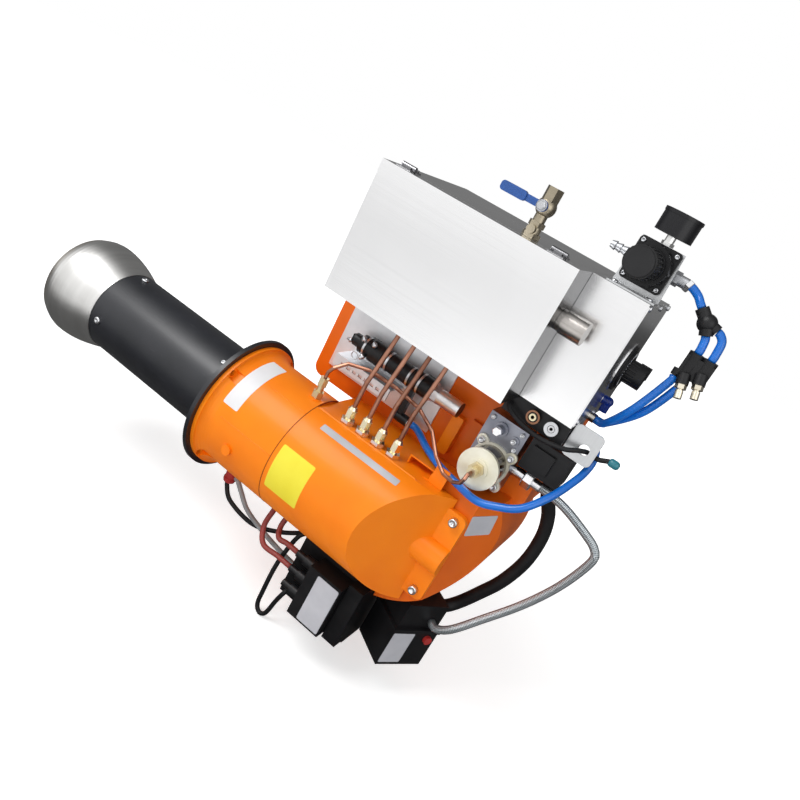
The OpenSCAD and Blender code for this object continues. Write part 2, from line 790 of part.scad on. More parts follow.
module control_cabinet() {
    elbow_x = cab_end_x + 8.7;
    elbow_y = 122;
    elbow_z = 250;
    color(steel_c) union() {
        block([cab_x, cab_y, cab_z], [cab_end_x, cab_y + cab_depth, tank_top]);
        // Folded edge of the side plate
        block([cab_end_x - 1, cab_y + 3, cab_z + 3], [cab_end_x + 1.2, cab_y + cab_depth - 3,
            tank_top - 3]);
        // Push-in ports of the two air lines and the elbow above them
        translate([0, 98, 228]) rod_x(cab_end_x, cab_end_x + 8.4, 5.5);
        translate([0, 112, 226]) rod_x(cab_end_x, cab_end_x + 8.4, 5.5);
        translate([0, elbow_y, elbow_z]) rod_x(cab_end_x, elbow_x, 6);
        translate([elbow_x, elbow_y, elbow_z]) sphere(r = 6.6);
        translate([elbow_x, elbow_y, elbow_z - 14]) cylinder(h = 14, r = 5.4);
    }
}

module gland_box() {
    z1 = gland_top - gland_h;
    gland_xs = [cab_x + 26.7, cab_x + 51.7];
    color(black_c) union() {
        difference() {
            union() {
                block([tank_end_x - 12, 30, z1], [cab_end_x, wall_y - seat_gap, tank_z - seat_gap]);
                block([cab_x + 1, 30, tank_z - over], [cab_end_x, wall_y - seat_gap, gland_top]);
            }
            for (x = gland_xs) translate([x, 0, z1 + 13]) rod_y(24, 40, 4);
        }
        for (x = gland_xs) translate([x, 0, z1 + 13]) difference() {
            rod_y(25, 31, 8);
            rod_y(20, 40, 4);
        }
    }
}

module bracket_plate() {
    x1 = cab_end_x + 1.5;
    x2 = cab_end_x + 38.7;
    z1 = gland_top - 34;
    z2 = gland_top + 8;
    color(steel_c) difference() {
        union() {
            along_y(plate_y, plate_y + 2) translate([(x1 + x2) / 2, (z1 + z2) / 2])
                round_rect(x2 - x1, z2 - z1, 7);
            // Flange against the cabinet, with the port of the long air hose
            block([x1, plate_y, gland_top - 16], [x1 + 2, plate_y + 30, z2]);
            translate([0, 62, 214]) rod_x(x1 + 1, x2 - 25, 5.5);
        }
        translate([x2 - 15, 0, z1 + 17.3]) rod_y(plate_y - over, plate_y + 3, 6.5);
    }
}

module thermostat_dial() {
    color(black_c) translate([0, dial_y, dial_z]) difference() {
        union() {
            rod_x(cab_end_x + 1.5, cab_end_x + 5, dial_d / 2);
            rod_x(cab_end_x + 4, cab_end_x + 8, dial_d / 2 - 5);
        }
        rod_x(cab_end_x + 1, cab_end_x + 9, 3 + run_gap);
    }
}

module thermostat_knob() {
    x1 = cab_end_x + 8.3;
    color(black_c) translate([0, dial_y, dial_z]) difference() {
        union() {
            rod_x(x1, x1 + 22, dial_knob_d / 2);
            rod_x(cab_end_x + 2, x1 + 1, 3);
            translate([x1 + 10, -2.5, 0]) cube([14, 5, dial_knob_d / 2 + 1]);
        }
        for (a = [0:20:340]) rotate([a, 0, 0]) translate([0, 0, dial_knob_d / 2 + 0.6])
            rod_x(x1 - over, x1 + 12, 1.4);
    }
}

module regulator_bracket() {
    color(steel_c) difference() {
        union() {
            block([reg_x - 29, 27, tank_top + seat_gap], [reg_x + 29, reg_y + 4, tank_top + 2.3]);
            along_y(reg_y + seat_gap, reg_y + 2.3) polygon([[reg_x - 29, tank_top + seat_gap],
                [reg_x + 29, tank_top + seat_gap], [reg_x + reg_w / 2 + 1, reg_z + reg_w / 2],
                [reg_x - reg_w / 2, reg_z + reg_w / 2]]);
        }
        translate([reg_x, 0, reg_z]) rod_y(reg_y - over, reg_y + 4, 16);
        for (s = [-1, 1]) translate([reg_x + s * 21, 34, tank_top - over]) cylinder(h = 6, r = 2.2);
    }
}

module regulator_body() {
    y1 = reg_y + 2.6;
    color("silver") translate([reg_x, 0, reg_z]) union() {
        along_y(y1, y1 + 34) round_rect(40, 40, 5);
        rod_y(reg_y + seat_gap, y1 + 1, 15.5);
        translate([0, y1 + 17, 0]) {
            rod_x(-24, 24, 10);
            // Barbed inlet on the left
            rod_x(-54, -20, 4);
            for (x = [-54, -47, -40]) translate([x, 0, 0]) rotate([0, 90, 0])
                cylinder(h = 6, r1 = 4, r2 = 5.6);
            rod_x(-32, -24, 8.6, $fn = 6);
            // Outlet fitting on the right
            rod_x(24, 32, 8.6, $fn = 6);
            rod_x(30, 41.7, 6.5);
            cylinder(h = 25, r = 7);
            translate([0, 0, -27]) cylinder(h = 10, r = 9);
        }
    }
}

module regulator_bonnet() {
    color(black_c) translate([reg_x, 0, reg_z]) difference() {
        union() {
            along_y(reg_y - 7, reg_y) round_rect(reg_w, reg_w, 5);
            rod_y(reg_y - 28, reg_y - 6, bonnet_d / 2);
            rod_y(reg_y - 40, reg_y - 27, bonnet_d / 2 - 4);
            for (a = [0:30:330]) rotate([0, a, 0])
                block([bonnet_d / 2 - 1, reg_y - 26, -1.5], [bonnet_d / 2 + 1, reg_y - 8, 1.5]);
        }
        rod_y(reg_y - 41, reg_y - 12, 6 + run_gap);
    }
}

module regulator_spindle() {
    color(brass_c) translate([reg_x, 0, reg_z]) rod_y(reg_y - 64, reg_y - 13, 6);
}

module regulator_knob() {
    y2 = reg_y - 40.3;
    y1 = y2 - 38;
    r = reg_knob_d / 2;
    color(black_c) translate([reg_x, 0, reg_z]) difference() {
        union() {
            rod_y(y1, y2, r - 1);
            rod_y(y1 - 2, y1 + 8, r - 3);
            for (a = [0:15:345]) rotate([0, a, 0])
                block([r - 2, y1 + 6, -1.2], [r, y2, 1.2]);
        }
        rod_y(y1 + 8, y2 + over, 6 + run_gap);
    }
}

module pressure_gauge() {
    z1 = reg_z + 25.3;
    y0 = reg_y + 2.6 + 17;
    color(black_c) translate([reg_x, y0, z1]) union() {
        cylinder(h = 4, r = 7.5, $fn = 6);
        cylinder(h = 12, r = 5.5);
        translate([0, 0, 11]) cylinder(h = gauge_h - 2, r = gauge_d / 2);
        translate([0, 0, 11 + gauge_h - 4]) difference() {
            cylinder(h = 4, r = gauge_d / 2 + 0.8);
            translate([0, 0, 2]) cylinder(h = 3, r = gauge_d / 2 - 2);
        }
    }
}

module y_connector() {
    color(black_c) union() {
        translate([451, 71, 391]) sphere(r = 11);
        translate([451, 71, 391]) rotate([0, -50, 0]) cylinder(h = 17.5, r = 7.5);
        translate([452, 69, 390]) rotate([0, 155, 0]) cylinder(h = 12, r = 7.5);
        translate([451, 71, 392]) rotate([0, 105, 0]) cylinder(h = 14, r = 7);
    }
}

// Axis of an adjusting screw, from its place across the block
module at_screw(i) {
    translate([block_x + (i == 1 ? -4 : 11), block_y - 6, block_z - (i == 1 ? 9 : 1)])
        rotate([screw_tilt, 0, 0]) rotate([0, 164, 0]) children();
}

module flow_block() {
    color(black_c) difference() {
        union() {
            for (x = [-5, 11]) translate([block_x + x, block_y, block_z - 10])
                cylinder(h = 26, r = 8.5);
            block([block_x - 13, block_y - 7, block_z - 13], [block_x + 19, block_y + 7,
                block_z + 12]);
            // Lower ports of the two hoses
            translate([453, 66, block_z - 16]) cylinder(h = 8, r = 5);
            translate([464.5, 69, block_z - 16]) cylinder(h = 8, r = 5);
            for (i = [1, 2]) at_screw(i) cylinder(h = 12, r = 7);
        }
        for (i = [1, 2]) at_screw(i) {
            translate([0, 0, 4]) cylinder(h = 12, r = 3 + run_gap);
            translate([0, 0, 12]) cylinder(h = 20, r = 7.4);
        }
    }
}

module flow_screw(i) {
    color(brass_c) at_screw(i) union() {
        translate([0, 0, 4.5]) cylinder(h = 20, r = 3);
        translate([0, 0, 12.3]) hex_nut(11, 5);
        translate([0, 0, 19]) cylinder(h = 9, r = 4.4);
    }
}

module flow_screw_1() { flow_screw(1); }

module flow_screw_2() { flow_screw(2); }

// Pump group

module pump_block() {
    color("silver") union() {
        block([pump_x - 30, pump_face_y + seat_gap, pump_z - 30], [pump_x + 24, wall_y - seat_gap,
            pump_z + 58]);
        // Two small valves on top of the block
        translate([pump_x - 8, pump_face_y + 6, pump_z + 44]) rod_y(-10, 0, 9);
        translate([pump_x - 8, pump_face_y - 10, pump_z + 44]) rod_y(-6, 6, 6);
        translate([pump_x + 13, pump_face_y + 6, pump_z + 40]) rod_y(-8, 0, 6);
        // Hose port on the right
        translate([0, 60, 129]) {
            rod_x(pump_x + 23, pump_x + 44, 7);
            rod_x(pump_x + 42, pump_x + 54, 10, $fn = 6);
            rod_x(pump_x + 54, 398.7, 7);
        }
    }
}

module pump_head() {
    color(zinc_c) translate([pump_x, 0, pump_z]) difference() {
        union() {
            rod_y(3, pump_face_y, pump_barrel_d / 2);
            // Round cover disc with its raised centre
            rod_y(-1, 3.7, pump_disc_d / 2, $fn = 96);
            rod_y(-3, 0, 13);
            along_y(pump_face_y - 4, pump_face_y) union() {
                circle(r = pump_barrel_d / 2 + 3);
                for (a = [45:90:315]) rotate(a) translate([pump_flange_w * 0.45 + 4, 0])
                    circle(r = 7);
                rotate(45) square([pump_flange_w * 0.9 + 8, 14], center = true);
                rotate(-45) square([pump_flange_w * 0.9 + 8, 14], center = true);
            }
        }
        for (a = [45:90:315]) rotate([0, a, 0])
            translate([pump_flange_w * 0.45 + 4, 0, 0]) rod_y(pump_face_y - 5, pump_face_y + 1, 2.6);
    }
}

module pump_outlet() {
    color(brass_c) translate([pump_x, 0, pump_z]) union() {
        translate([0, -3.3, 0]) rotate([90, 0, 0]) hex_nut(17, 6);
        rod_y(-16, -9, 6);
        translate([0, -15, 0]) rotate([90, 0, 0]) hex_nut(11, 7);
    }
}

// Heated oil valve on the front wall

module solenoid_valve() {
    color(black_c) translate([0, heater_y, heater_z]) union() {
        rod_x(heater_x, heater_end_x, heater_d / 2);
        rod_x(heater_x + 18, heater_x + 38, heater_d / 2 + 2);
        rod_x(heater_end_x - 26, heater_end_x + 2, heater_d / 2 + 1);
        rod_x(heater_x - 12, heater_x + 2, 9);
        translate([heater_x - 16, -4, -6]) cube([8, 8, 12]);
        rod_x(heater_end_x + 2, heater_end_x + 11, 12, $fn = 6);
        rod_x(heater_end_x + 10, heater_end_x + 10 + heater_cap_len, 10.5);
        // Feet on the mounting plate
        for (x = [heater_x + 8, heater_end_x - 16])
            block([x - 6, 8, -10], [x + 6, wall_y - heater_y - 3.6, 10]);
        // Hose end below
        translate([heater_end_x - 19, 4, -56]) rod_x(-13, 10.5, 7);
        block([heater_end_x - 32, -2, -50], [heater_end_x - 22, 8, -heater_d / 2 + 5]);
    }
}

module valve_plate() {
    x1 = heater_x - 44;
    x2 = heater_end_x + 12;
    rail_x = heater_x - 20;
    rail_end_x = heater_x + 72;
    rail_z = heater_z - 28;
    color("whitesmoke") difference() {
        union() {
            block([x1, wall_y - 3.3, rail_z - 32], [x2, wall_y - seat_gap, tank_z - 4.5]);
            block([rail_x, 34, rail_z], [rail_end_x, wall_y - 3, rail_z + 2.5]);
            block([rail_x, 34, rail_z - 14], [rail_end_x, 36.5, rail_z + 2]);
        }
        // Row of vent slots in the folded rail
        for (x = [rail_x + 12:10:rail_end_x - 10])
            block([x, 30, rail_z - 9], [x + 6, 40, rail_z - 5]);
    }
}

// Pipes

module feed_pipes() {
    color(copper_c) for (x = pipe_xs) {
        swept_tube([[x, pipe_y, ledge_z + 24], [x, pipe_y, ledge_z + 60],
            [x + 2, pipe_y + 8, ledge_z + 100], [x + 3, pipe_y + 14, tank_z - 12],
            [x + 3, pipe_y + 14, tank_z - seat_gap]], pipe_d, 12);
    }
}

module pipe_fittings() {
    color(brass_c) for (x = pipe_xs) translate([x, pipe_y, ledge_z]) {
        translate([0, 0, -9]) cylinder(h = 12, r = 5);
        translate([0, 0, seat_gap]) hex_nut(17, 6);
        translate([0, 0, 6]) cylinder(h = 5, r = 5);
        translate([0, 0, 9]) hex_nut(12, 11);
        translate([0, 0, 20]) cylinder(h = 4, r1 = 6, r2 = 4);
    }
}

module thin_pipe() {
    color(copper_c) swept_tube([[port_x, port_y, duct_r + 29.3], [port_x, port_y, 119],
        [112, -11, 128], [124, -3, 141], [150, 6, 147], [190, 12, 146], [230, 10, 142],
        [262, 2, 130], [285, -12, 113], [306, -25, 106], [322, -31, 107], [331, -34, 113],
        [pump_x, -34, 120], [pump_x, -31, 125.5], [pump_x, -22.3, pump_z]], thin_pipe_d, 8);
}

module angle_frame() {
    z1 = ledge_z + seat_gap;
    top_z = 90;
    color(cast_c) union() {
        block([252, 2, z1], [254, 34, top_z]);
        block([252, 2, top_z - 2], [292, 34, top_z]);
        block([290, -8, z1], [292, 34, top_z]);
        block([291, -8, z1], [310, -6, 104]);
        block([282, -8, z1], [294, 30, z1 + 2]);
    }
}

// Electrical pieces

module terminal_box() {
    color(black_c) union() {
        block([362, 46, 142], [416, wall_y - seat_gap, 184]);
        block([right_x + seat_gap, 60, 142], [416, 92, 184]);
        block([368, 42, 150], [398, 47, 176]);
    }
}

module transformer() {
    z1 = trans_top - trans_h;
    color(black_c) union() {
        along_x(trans_x, trans_end_x) translate([(trans_y + 44) / 2, (z1 + trans_top) / 2])
            round_rect(44 - trans_y, trans_h, 4);
        block([front_x, front_y, z1 + 10], [front_end_x, trans_y + over, trans_top - 16]);
        block([trans_end_x - 22, front_y + 14, z1 + 5], [trans_end_x, trans_y + over,
            trans_top - 10]);
        for (z = term_zs) translate([0, term_y, z]) {
            rod_x(192, front_x + over, 5.5);
            rod_x(206, front_x + over, 8);
        }
    }
}

// Places things in the turned frame of the control box
module at_control_box() {
    translate([ctrl_x, ctrl_y, 0]) rotate([0, 0, ctrl_angle]) children();
}

module control_box() {
    z1 = ctrl_top - ctrl_h;
    color(black_c) difference() {
        union() {
            at_control_box() {
                block([0, 0, z1], [ctrl_len, ctrl_w, ctrl_top - 22]);
                block([4, 4, ctrl_top - 23], [ctrl_len - 4, ctrl_w - 4, -40]);
                block([-2, -2, ctrl_top - 26], [ctrl_len + 2, ctrl_w, ctrl_top - 20]);
            }
        }
        translate([fan_x, 0, fan_z]) rod_y(-60, 140, scroll_r + seat_gap, $fn = 96);
        block([200, -80, -duct_r - seat_gap], [420, wall_y, 0]);
        at_control_box() translate([button_along, 0, button_z]) rod_y(-over, 14, 6 + run_gap);
    }
}

module reset_button() {
    color("crimson") at_control_box() translate([button_along, 0, button_z]) union() {
        rod_y(-5, 6, 6);
        rod_y(5, 9, 4);
    }
}

// Hoses and cables

module hose_outlet() { color(blue_c) swept_tube(hose_outlet_route, hose_d); }

// The two short hoses between the branch piece and the screw block
module hose_upper() {
    color(blue_c) {
        swept_tube(hose_upper_1_route, hose_d);
        swept_tube(hose_upper_2_route, hose_d);
    }
}

module hose_lower_1() { color(blue_c) swept_tube(hose_lower_1_route, hose_d); }

module hose_lower_2() { color(blue_c) swept_tube(hose_lower_2_route, hose_d); }

module hose_long() { color(blue_c) swept_tube(hose_long_route, hose_d); }

module sag_cable() { color(black_c) swept_tube(sag_route, cable_d); }

module conduit() { color(black_c) swept_tube(conduit_route, conduit_d, 10); }

module braided_hose() { color("silver") swept_tube(braid_route, braid_d); }

module ignition_lead_1() { color("brown") swept_tube(lead_1_route, lead_d); }

module ignition_lead_2() { color("brown") swept_tube(lead_2_route, lead_d); }

module cell_cable() { color(black_c) swept_tube(cell_route, cable_d); }

module loop_cable() { color(black_c) swept_tube(loop_route, cable_d); }

module sleeve_cable() { color("silver") swept_tube(sleeve_route, cable_d + 2); }

mount_flange();
blast_tube();
nozzle_head();
front_duct();
main_housing();
fan_housing();
air_inlet();
air_band();
fan_wheel();
motor();
air_diffuser();
oil_lance();
electrodes();
photocell();
tank_shell();
tank_lid();
valve_body();
valve_lever();
heater_coupling();
control_cabinet();
gland_box();
bracket_plate();
thermostat_dial();
thermostat_knob();
regulator_bracket();
regulator_body();
regulator_bonnet();
regulator_spindle();
regulator_knob();
pressure_gauge();
y_connector();
flow_block();
flow_screw_1();
flow_screw_2();
pump_block();
pump_head();
pump_outlet();
solenoid_valve();
valve_plate();
feed_pipes();
pipe_fittings();
thin_pipe();
angle_frame();
terminal_box();
transformer();
control_box();
reset_button();
hose_outlet();
hose_upper();
hose_lower_1();
hose_lower_2();
hose_long();
sag_cable();
conduit();
braided_hose();
ignition_lead_1();
ignition_lead_2();
cell_cable();
loop_cable();
sleeve_cable();
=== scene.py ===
# %% [markdown]
# # A waste oil burner
# The burner is an assembly of castings, sheet-steel boxes, bought-in valves and a good many hoses.
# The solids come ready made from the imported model, in metres, with the origin in the middle of the
# mounting flange and +X running back along the blast tube. This lesson gives every solid its
# finish, then adds what is too fine for the solids: screws, plates, dials, threads and hoses.

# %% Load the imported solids
import math

import bpy
import numpy as np
from mathutils import Matrix, Vector


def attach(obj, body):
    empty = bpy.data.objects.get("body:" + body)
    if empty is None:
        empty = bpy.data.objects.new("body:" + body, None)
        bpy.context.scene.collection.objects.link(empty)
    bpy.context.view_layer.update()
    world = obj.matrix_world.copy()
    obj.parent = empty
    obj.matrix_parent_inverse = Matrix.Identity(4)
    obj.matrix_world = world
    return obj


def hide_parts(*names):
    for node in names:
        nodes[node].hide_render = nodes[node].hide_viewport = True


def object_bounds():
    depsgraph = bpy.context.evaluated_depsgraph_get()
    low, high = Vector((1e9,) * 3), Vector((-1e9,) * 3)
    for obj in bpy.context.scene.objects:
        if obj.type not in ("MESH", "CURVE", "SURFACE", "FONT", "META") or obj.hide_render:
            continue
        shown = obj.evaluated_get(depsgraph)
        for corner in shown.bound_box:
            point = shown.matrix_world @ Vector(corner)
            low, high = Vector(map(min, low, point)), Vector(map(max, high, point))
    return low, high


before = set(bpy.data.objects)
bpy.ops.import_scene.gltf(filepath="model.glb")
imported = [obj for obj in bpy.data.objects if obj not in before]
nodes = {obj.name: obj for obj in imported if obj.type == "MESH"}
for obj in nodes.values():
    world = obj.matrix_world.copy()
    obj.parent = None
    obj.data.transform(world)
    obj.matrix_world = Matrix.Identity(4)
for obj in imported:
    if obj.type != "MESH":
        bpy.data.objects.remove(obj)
cad_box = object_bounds()
print("solids:", len(nodes), "box:", [round(v, 3) for corner in cad_box for v in corner])

# %% [markdown]
# ## The camera
# The photograph was taken close up with a wide lens, tilted by about 28 degrees, so the
# verticals lean. The camera stands to the front right of the burner and looks down on it. Its three
# axes are written as a matrix, because a tilted camera is hard to read as three angles.

# %% Camera
camera_right = Vector((0.77112, 0.45717, 0.44308))
camera_up = Vector((-0.54678, 0.11915, 0.82874))
camera_back = Vector((0.32603, -0.88138, 0.34187))
camera_place = Vector((0.492, -0.7714, 0.4394))


def in_scene(name, data):
    """A new object that shows the data, linked to the scene."""
    made = bpy.data.objects.new(name, data)
    bpy.context.scene.collection.objects.link(made)
    return made


camera_data = bpy.data.cameras.new("photo_camera")
camera_data.lens = 32.16
camera_data.sensor_width = 36.0
camera_data.clip_start = 0.05
camera = in_scene("photo_camera", camera_data)
turn = Matrix((camera_right, camera_up, camera_back)).transposed().to_4x4()
camera.matrix_world = Matrix.Translation(camera_place) @ turn
bpy.context.scene.camera = camera
bpy.context.scene.view_settings.view_transform = "Standard"
print("camera at", tuple(camera_place), "lens", camera_data.lens)

# %% [markdown]
# ## Writing shader maths as plain sums
# A shader tree is a sum of small nodes. One class wraps a socket, so that `0.3 + 0.2 * mask` adds
# the two Math nodes by itself. A second class holds the material and adds every other node.

# %% A socket that can be added and multiplied
class Val:
    """A shader socket. Sums, differences, products and powers of it add Math nodes."""

    def __init__(self, finish, socket):
        self.finish = finish
        self.socket = socket

    def maths(self, operation, a, b=0.0):
        """One Math node on a and b, each a number or another Val."""
        return self.finish.node("ShaderNodeMath", {"operation": operation}, {0: a, 1: b})

    def __add__(self, other):
        return self.maths("ADD", self, other)

    __radd__ = __add__

    def __mul__(self, other):
        return self.maths("MULTIPLY", self, other)

    __rmul__ = __mul__

    def __sub__(self, other):
        return self.maths("SUBTRACT", self, other)

    def __rsub__(self, other):
        return self.maths("SUBTRACT", other, self)

    def __pow__(self, other):
        return self.maths("POWER", self, other)

    def above(self, limit):
        """1 where the value is above the limit, else 0."""
        return self.maths("GREATER_THAN", self, limit)

    def wave(self):
        """sin(value), with the value in radians."""
        return self.maths("SINE", self)

    def ramp(self, low, high):
        """Runs from 0 at low to 1 at high, and is held there outside them."""
        return self.finish.node("ShaderNodeMapRange", {}, {0: self, 1: low, 2: high})


# %% [markdown]
# The second class is one material. It knows where a point lies on the burner, in metres, so that a
# finish can change over at a height or a distance, and paint() joins the results to the shader.

# %% A material and its nodes
class Finish:
    """One material. paint() sets the shader; node() adds any node and gives its first output."""

    def __init__(self, name):
        self.material = bpy.data.materials.new(name)
        self.material.use_nodes = True
        self.tree = self.material.node_tree
        self.shader = self.tree.nodes["Principled BSDF"]
        self.place = self.node("ShaderNodeTexCoord", {}, {}, "Object")

    def node(self, kind, settings, inputs, output=0):
        """Adds a node of any kind, sets it up, links or fills its inputs and gives one output."""
        made = self.tree.nodes.new(kind)
        for key, value in settings.items():
            setattr(made, key, value)
        for key, value in inputs.items():
            self.put(made.inputs[key], value)
        return Val(self, made.outputs[output])

    def put(self, socket, value):
        """Links a Val to the socket, or writes a plain number or colour into it."""
        if isinstance(value, Val):
            self.tree.links.new(value.socket, socket)
        else:
            socket.default_value = value

    def noise(self, scale, detail=3.0, stretch=(1, 1, 1), roughness=0.55, place=None):
        """Soft cloudy noise from 0 to 1; stretch squeezes it along an axis."""
        at = place or self.place
        if tuple(stretch) != (1, 1, 1):
            at = self.node("ShaderNodeMapping", {}, {0: at, "Scale": stretch})
        return self.node(
            "ShaderNodeTexNoise", {},
            {"Vector": at, "Scale": scale, "Detail": detail, "Roughness": roughness},
        )

    def axis(self, index):
        """The X, Y or Z coordinate of the point, in metres."""
        return self.node("ShaderNodeSeparateXYZ", {}, {0: self.place}, index)

    def blend(self, a, b, share):
        """Mixes two colours, share 0 giving the first."""
        made = self.tree.nodes.new("ShaderNodeMix")
        made.data_type = "RGBA"
        self.put(made.inputs[0], share)
        self.put(made.inputs[6], a if isinstance(a, Val) else (*a, 1))
        self.put(made.inputs[7], b if isinstance(b, Val) else (*b, 1))
        return Val(self, made.outputs[2])

    def bump(self, height, distance, strength=1.0):
        """A normal tilted by the slope of height, whose full range stands for distance in metres."""
        return self.node("ShaderNodeBump", {},
                         {"Height": height, "Distance": distance, "Strength": strength})

    def paint(self, colour, roughness, metallic=0.0, normal=None, coat=0.0, coat_rough=0.1,
              shine=0.5):
        """Joins colour, roughness, metallic and normal to the shader; gives the material."""
        put = self.shader.inputs
        self.put(put["Base Color"], colour if isinstance(colour, Val) else (*colour, 1))
        self.put(put["Roughness"], roughness)
        self.put(put["Metallic"], metallic)
        if normal is not None:
            self.put(put["Normal"], normal)
        put["Specular IOR Level"].default_value = shine
        put["Coat Weight"].default_value = coat
        put["Coat Roughness"].default_value = coat_rough
        return self.material


# %% [markdown]
# ## Steel sheet
# Brushed stainless shows fine scratches that all run one way, a little cloudiness from handling,
# and hardly any colour. The scratches are noise that is stretched a hundredfold along the sheet.
# The tank and the cabinet are brushed level, so the scratches follow X on the fronts. The hinges
# and the tank's right end mirror dark things, so a painted dark reflection darkens their colour.

# %% Brushed sheet
cabinet_side_x = 0.39675
elbow_low_z = 0.2352
lid_top_z = 0.3822
tank_end_x = 0.32495
sheet_white = (0.93, 0.93, 0.935)


def brushed_sheet(name, along, tint=(0.74, 0.75, 0.76), rough=0.24, fittings=False,
                  painted_dark_above=None, painted_dark_right_of=None, depth=0.2):
    """Stainless sheet: roughness = base + scratches + smudges; colour = tint darkened by smudges.
    With fittings, what stands proud of the cabinet's side is blue plastic above, nickel below.
    Above the one height given, or beyond the one x given, the colour is darker: a painted dark
    reflection."""
    f = Finish(name)
    squeeze = [520.0, 520.0, 520.0]
    squeeze[along] = 4.0
    scratch = f.noise(1.0, 3.0, squeeze, 0.6)
    smudge = f.noise(5.0, 3.0)
    colour = f.blend([0.96 * c for c in tint], tint, smudge.ramp(0.3, 0.6))
    streaked = f.blend([0.95 * c for c in tint], colour, scratch.ramp(0.25, 0.6))
    metallic = 1.0
    if fittings:
        proud = f.axis(0).above(cabinet_side_x)
        elbow = proud * f.axis(2).above(elbow_low_z)
        nickel = f.blend(streaked, (0.50, 0.47, 0.42), proud)
        streaked = f.blend(nickel, (0.006, 0.030, 0.23), elbow)
        metallic = 1.0 - elbow
    # painted dark reflection: the colour is darker above a height and beyond an x
    if painted_dark_above:
        streaked = f.blend(streaked, (0.24, 0.24, 0.25), f.axis(2).above(painted_dark_above))
    if painted_dark_right_of:
        streaked = f.blend(streaked, (0.13, 0.13, 0.135), f.axis(0).above(painted_dark_right_of))
    return f.paint(streaked, rough + 0.07 * scratch + 0.07 * smudge, metallic,
                   f.bump(scratch, 0.00002, depth))


tank_sheet = brushed_sheet("tank_sheet", 0, sheet_white, 0.16, painted_dark_above=lid_top_z,
                           painted_dark_right_of=tank_end_x)
lid_sheet = brushed_sheet("lid_sheet", 0, sheet_white, 0.16, painted_dark_above=lid_top_z)
cabinet_sheet = brushed_sheet("cabinet_sheet", 0, (0.91, 0.91, 0.915), 0.17, fittings=True)
plate_sheet = brushed_sheet("plate_sheet", 2, (0.62, 0.63, 0.64), 0.28, depth=0.04)
print("steel sheets made")

# %% [markdown]
# The head is spun on a lathe, so its scratches run round the axis. They are noise that depends on
# the distance along X and barely on the angle. Heat has left a faint straw tint near the mouth.

# %% Spun head
def spun_head():
    """Roughness = 0.26 + 0.12 rings; a straw tint fades out from x = -336 mm to -322 mm."""
    f = Finish("spun_head")
    x = f.axis(0)
    rings = f.noise(1.0, 4.0, (900.0, 9.0, 9.0), 0.7)
    broad = f.noise(1.0, 2.0, (70.0, 5.0, 5.0))
    steel = f.blend((0.64, 0.635, 0.62), (0.76, 0.755, 0.74), broad.ramp(0.3, 0.7))
    straw = f.blend((0.62, 0.57, 0.50), steel, x.ramp(-0.336, -0.322))
    return f.paint(straw, 0.26 + 0.12 * rings, 1.0, f.bump(rings, 0.00004, 0.3))


head_steel = spun_head()
print("spun head made")

# %% [markdown]
# ## Paint on the castings
# The castings are sand cast and sprayed with a thick orange enamel. Under the gloss one sees the
# faint unevenness of the casting, and the enamel itself has an orange-peel skin. Both are noise, at
# two scales, in the bump. A clear coat on top gives the broad soft highlights.

# %% Orange enamel and other paints
def enamel(name, deep, bright, rough, coat, grain=0.00006):
    """Colour runs from deep to bright with the cloud; height = 0.7 cast + 0.3 peel;
    roughness = rough + 0.12 cloud; a few specks are darker."""
    f = Finish(name)
    cloud = f.noise(9.0, 3.0)
    peel = f.noise(420.0, 2.0)
    cast = f.noise(60.0, 4.0)
    speck = f.noise(900.0, 2.0).ramp(0.68, 0.74)
    colour = f.blend(deep, bright, cloud.ramp(0.3, 0.65))
    dusty = f.blend(colour, [0.55 * c + 0.02 for c in deep], 0.35 * speck)
    height = cast * 0.7 + peel * 0.3
    return f.paint(dusty, rough + 0.12 * cloud, 0.0, f.bump(height, grain, 0.6), coat, 0.18, 0.22)


orange = enamel("orange_enamel", (0.90, 0.195, 0.003), (0.97, 0.25, 0.004), 0.36, 0.12)
# painted shade: a dark red-brown enamel for the ring that stands for the shadow in the seam
seam_shade_enamel = enamel("seam_shade_enamel", (0.20, 0.030, 0.002), (0.26, 0.040, 0.002), 0.6, 0.0)
# painted shade: a darker copy of the orange enamel for the scroll, which lies in shade under the tank
shaded_scroll_orange = enamel("shaded_scroll_orange", (0.70, 0.115, 0.003), (0.82, 0.15, 0.004), 0.36, 0.12)
motor_grey = enamel("motor_grey", (0.10, 0.105, 0.11), (0.15, 0.155, 0.16), 0.4, 0.3)


def heat_black():
    """Black heat-proof paint with dull scuffs: roughness = 0.36 + 0.14 cloud + 0.1 scuff."""
    f = Finish("heat_black")
    cloud = f.noise(16.0, 4.0)
    scuff = f.noise(1.0, 5.0, (26.0, 120.0, 120.0), 0.7).ramp(0.62, 0.72)
    colour = f.blend((0.005, 0.006, 0.009), (0.012, 0.013, 0.018), cloud.ramp(0.3, 0.7))
    worn = f.blend(colour, (0.045, 0.046, 0.055), 0.4 * scuff)
    grain = f.noise(700.0, 2.0)
    return f.paint(worn, 0.36 + 0.14 * cloud + 0.1 * scuff, 0.0,
                   f.bump(grain, 0.00004, 0.5), 0.25, 0.25)


tube_black = heat_black()
print("paints made")

# %% [markdown]
# ## Metals that are not sheet
# Brass, copper, zinc plating and bare die casting differ in colour and in how even they are: zinc
# plate is mottled and slightly yellow, copper pipe darkens in patches, a die casting is grainy.

# %% Metals
def metal(name, dark, light, rough, grain_scale=500.0, grain=0.00003, patch=14.0):
    """Colour = dark to light with tarnish; roughness = rough + 0.16 tarnish + 0.06 fine."""
    f = Finish(name)
    tarnish = f.noise(patch, 4.0)
    fine = f.noise(grain_scale, 2.0)
    colour = f.blend(dark, light, tarnish.ramp(0.3, 0.65))
    return f.paint(colour, rough + 0.16 * tarnish + 0.06 * fine, 1.0,
                   f.bump(fine, grain, 0.5))


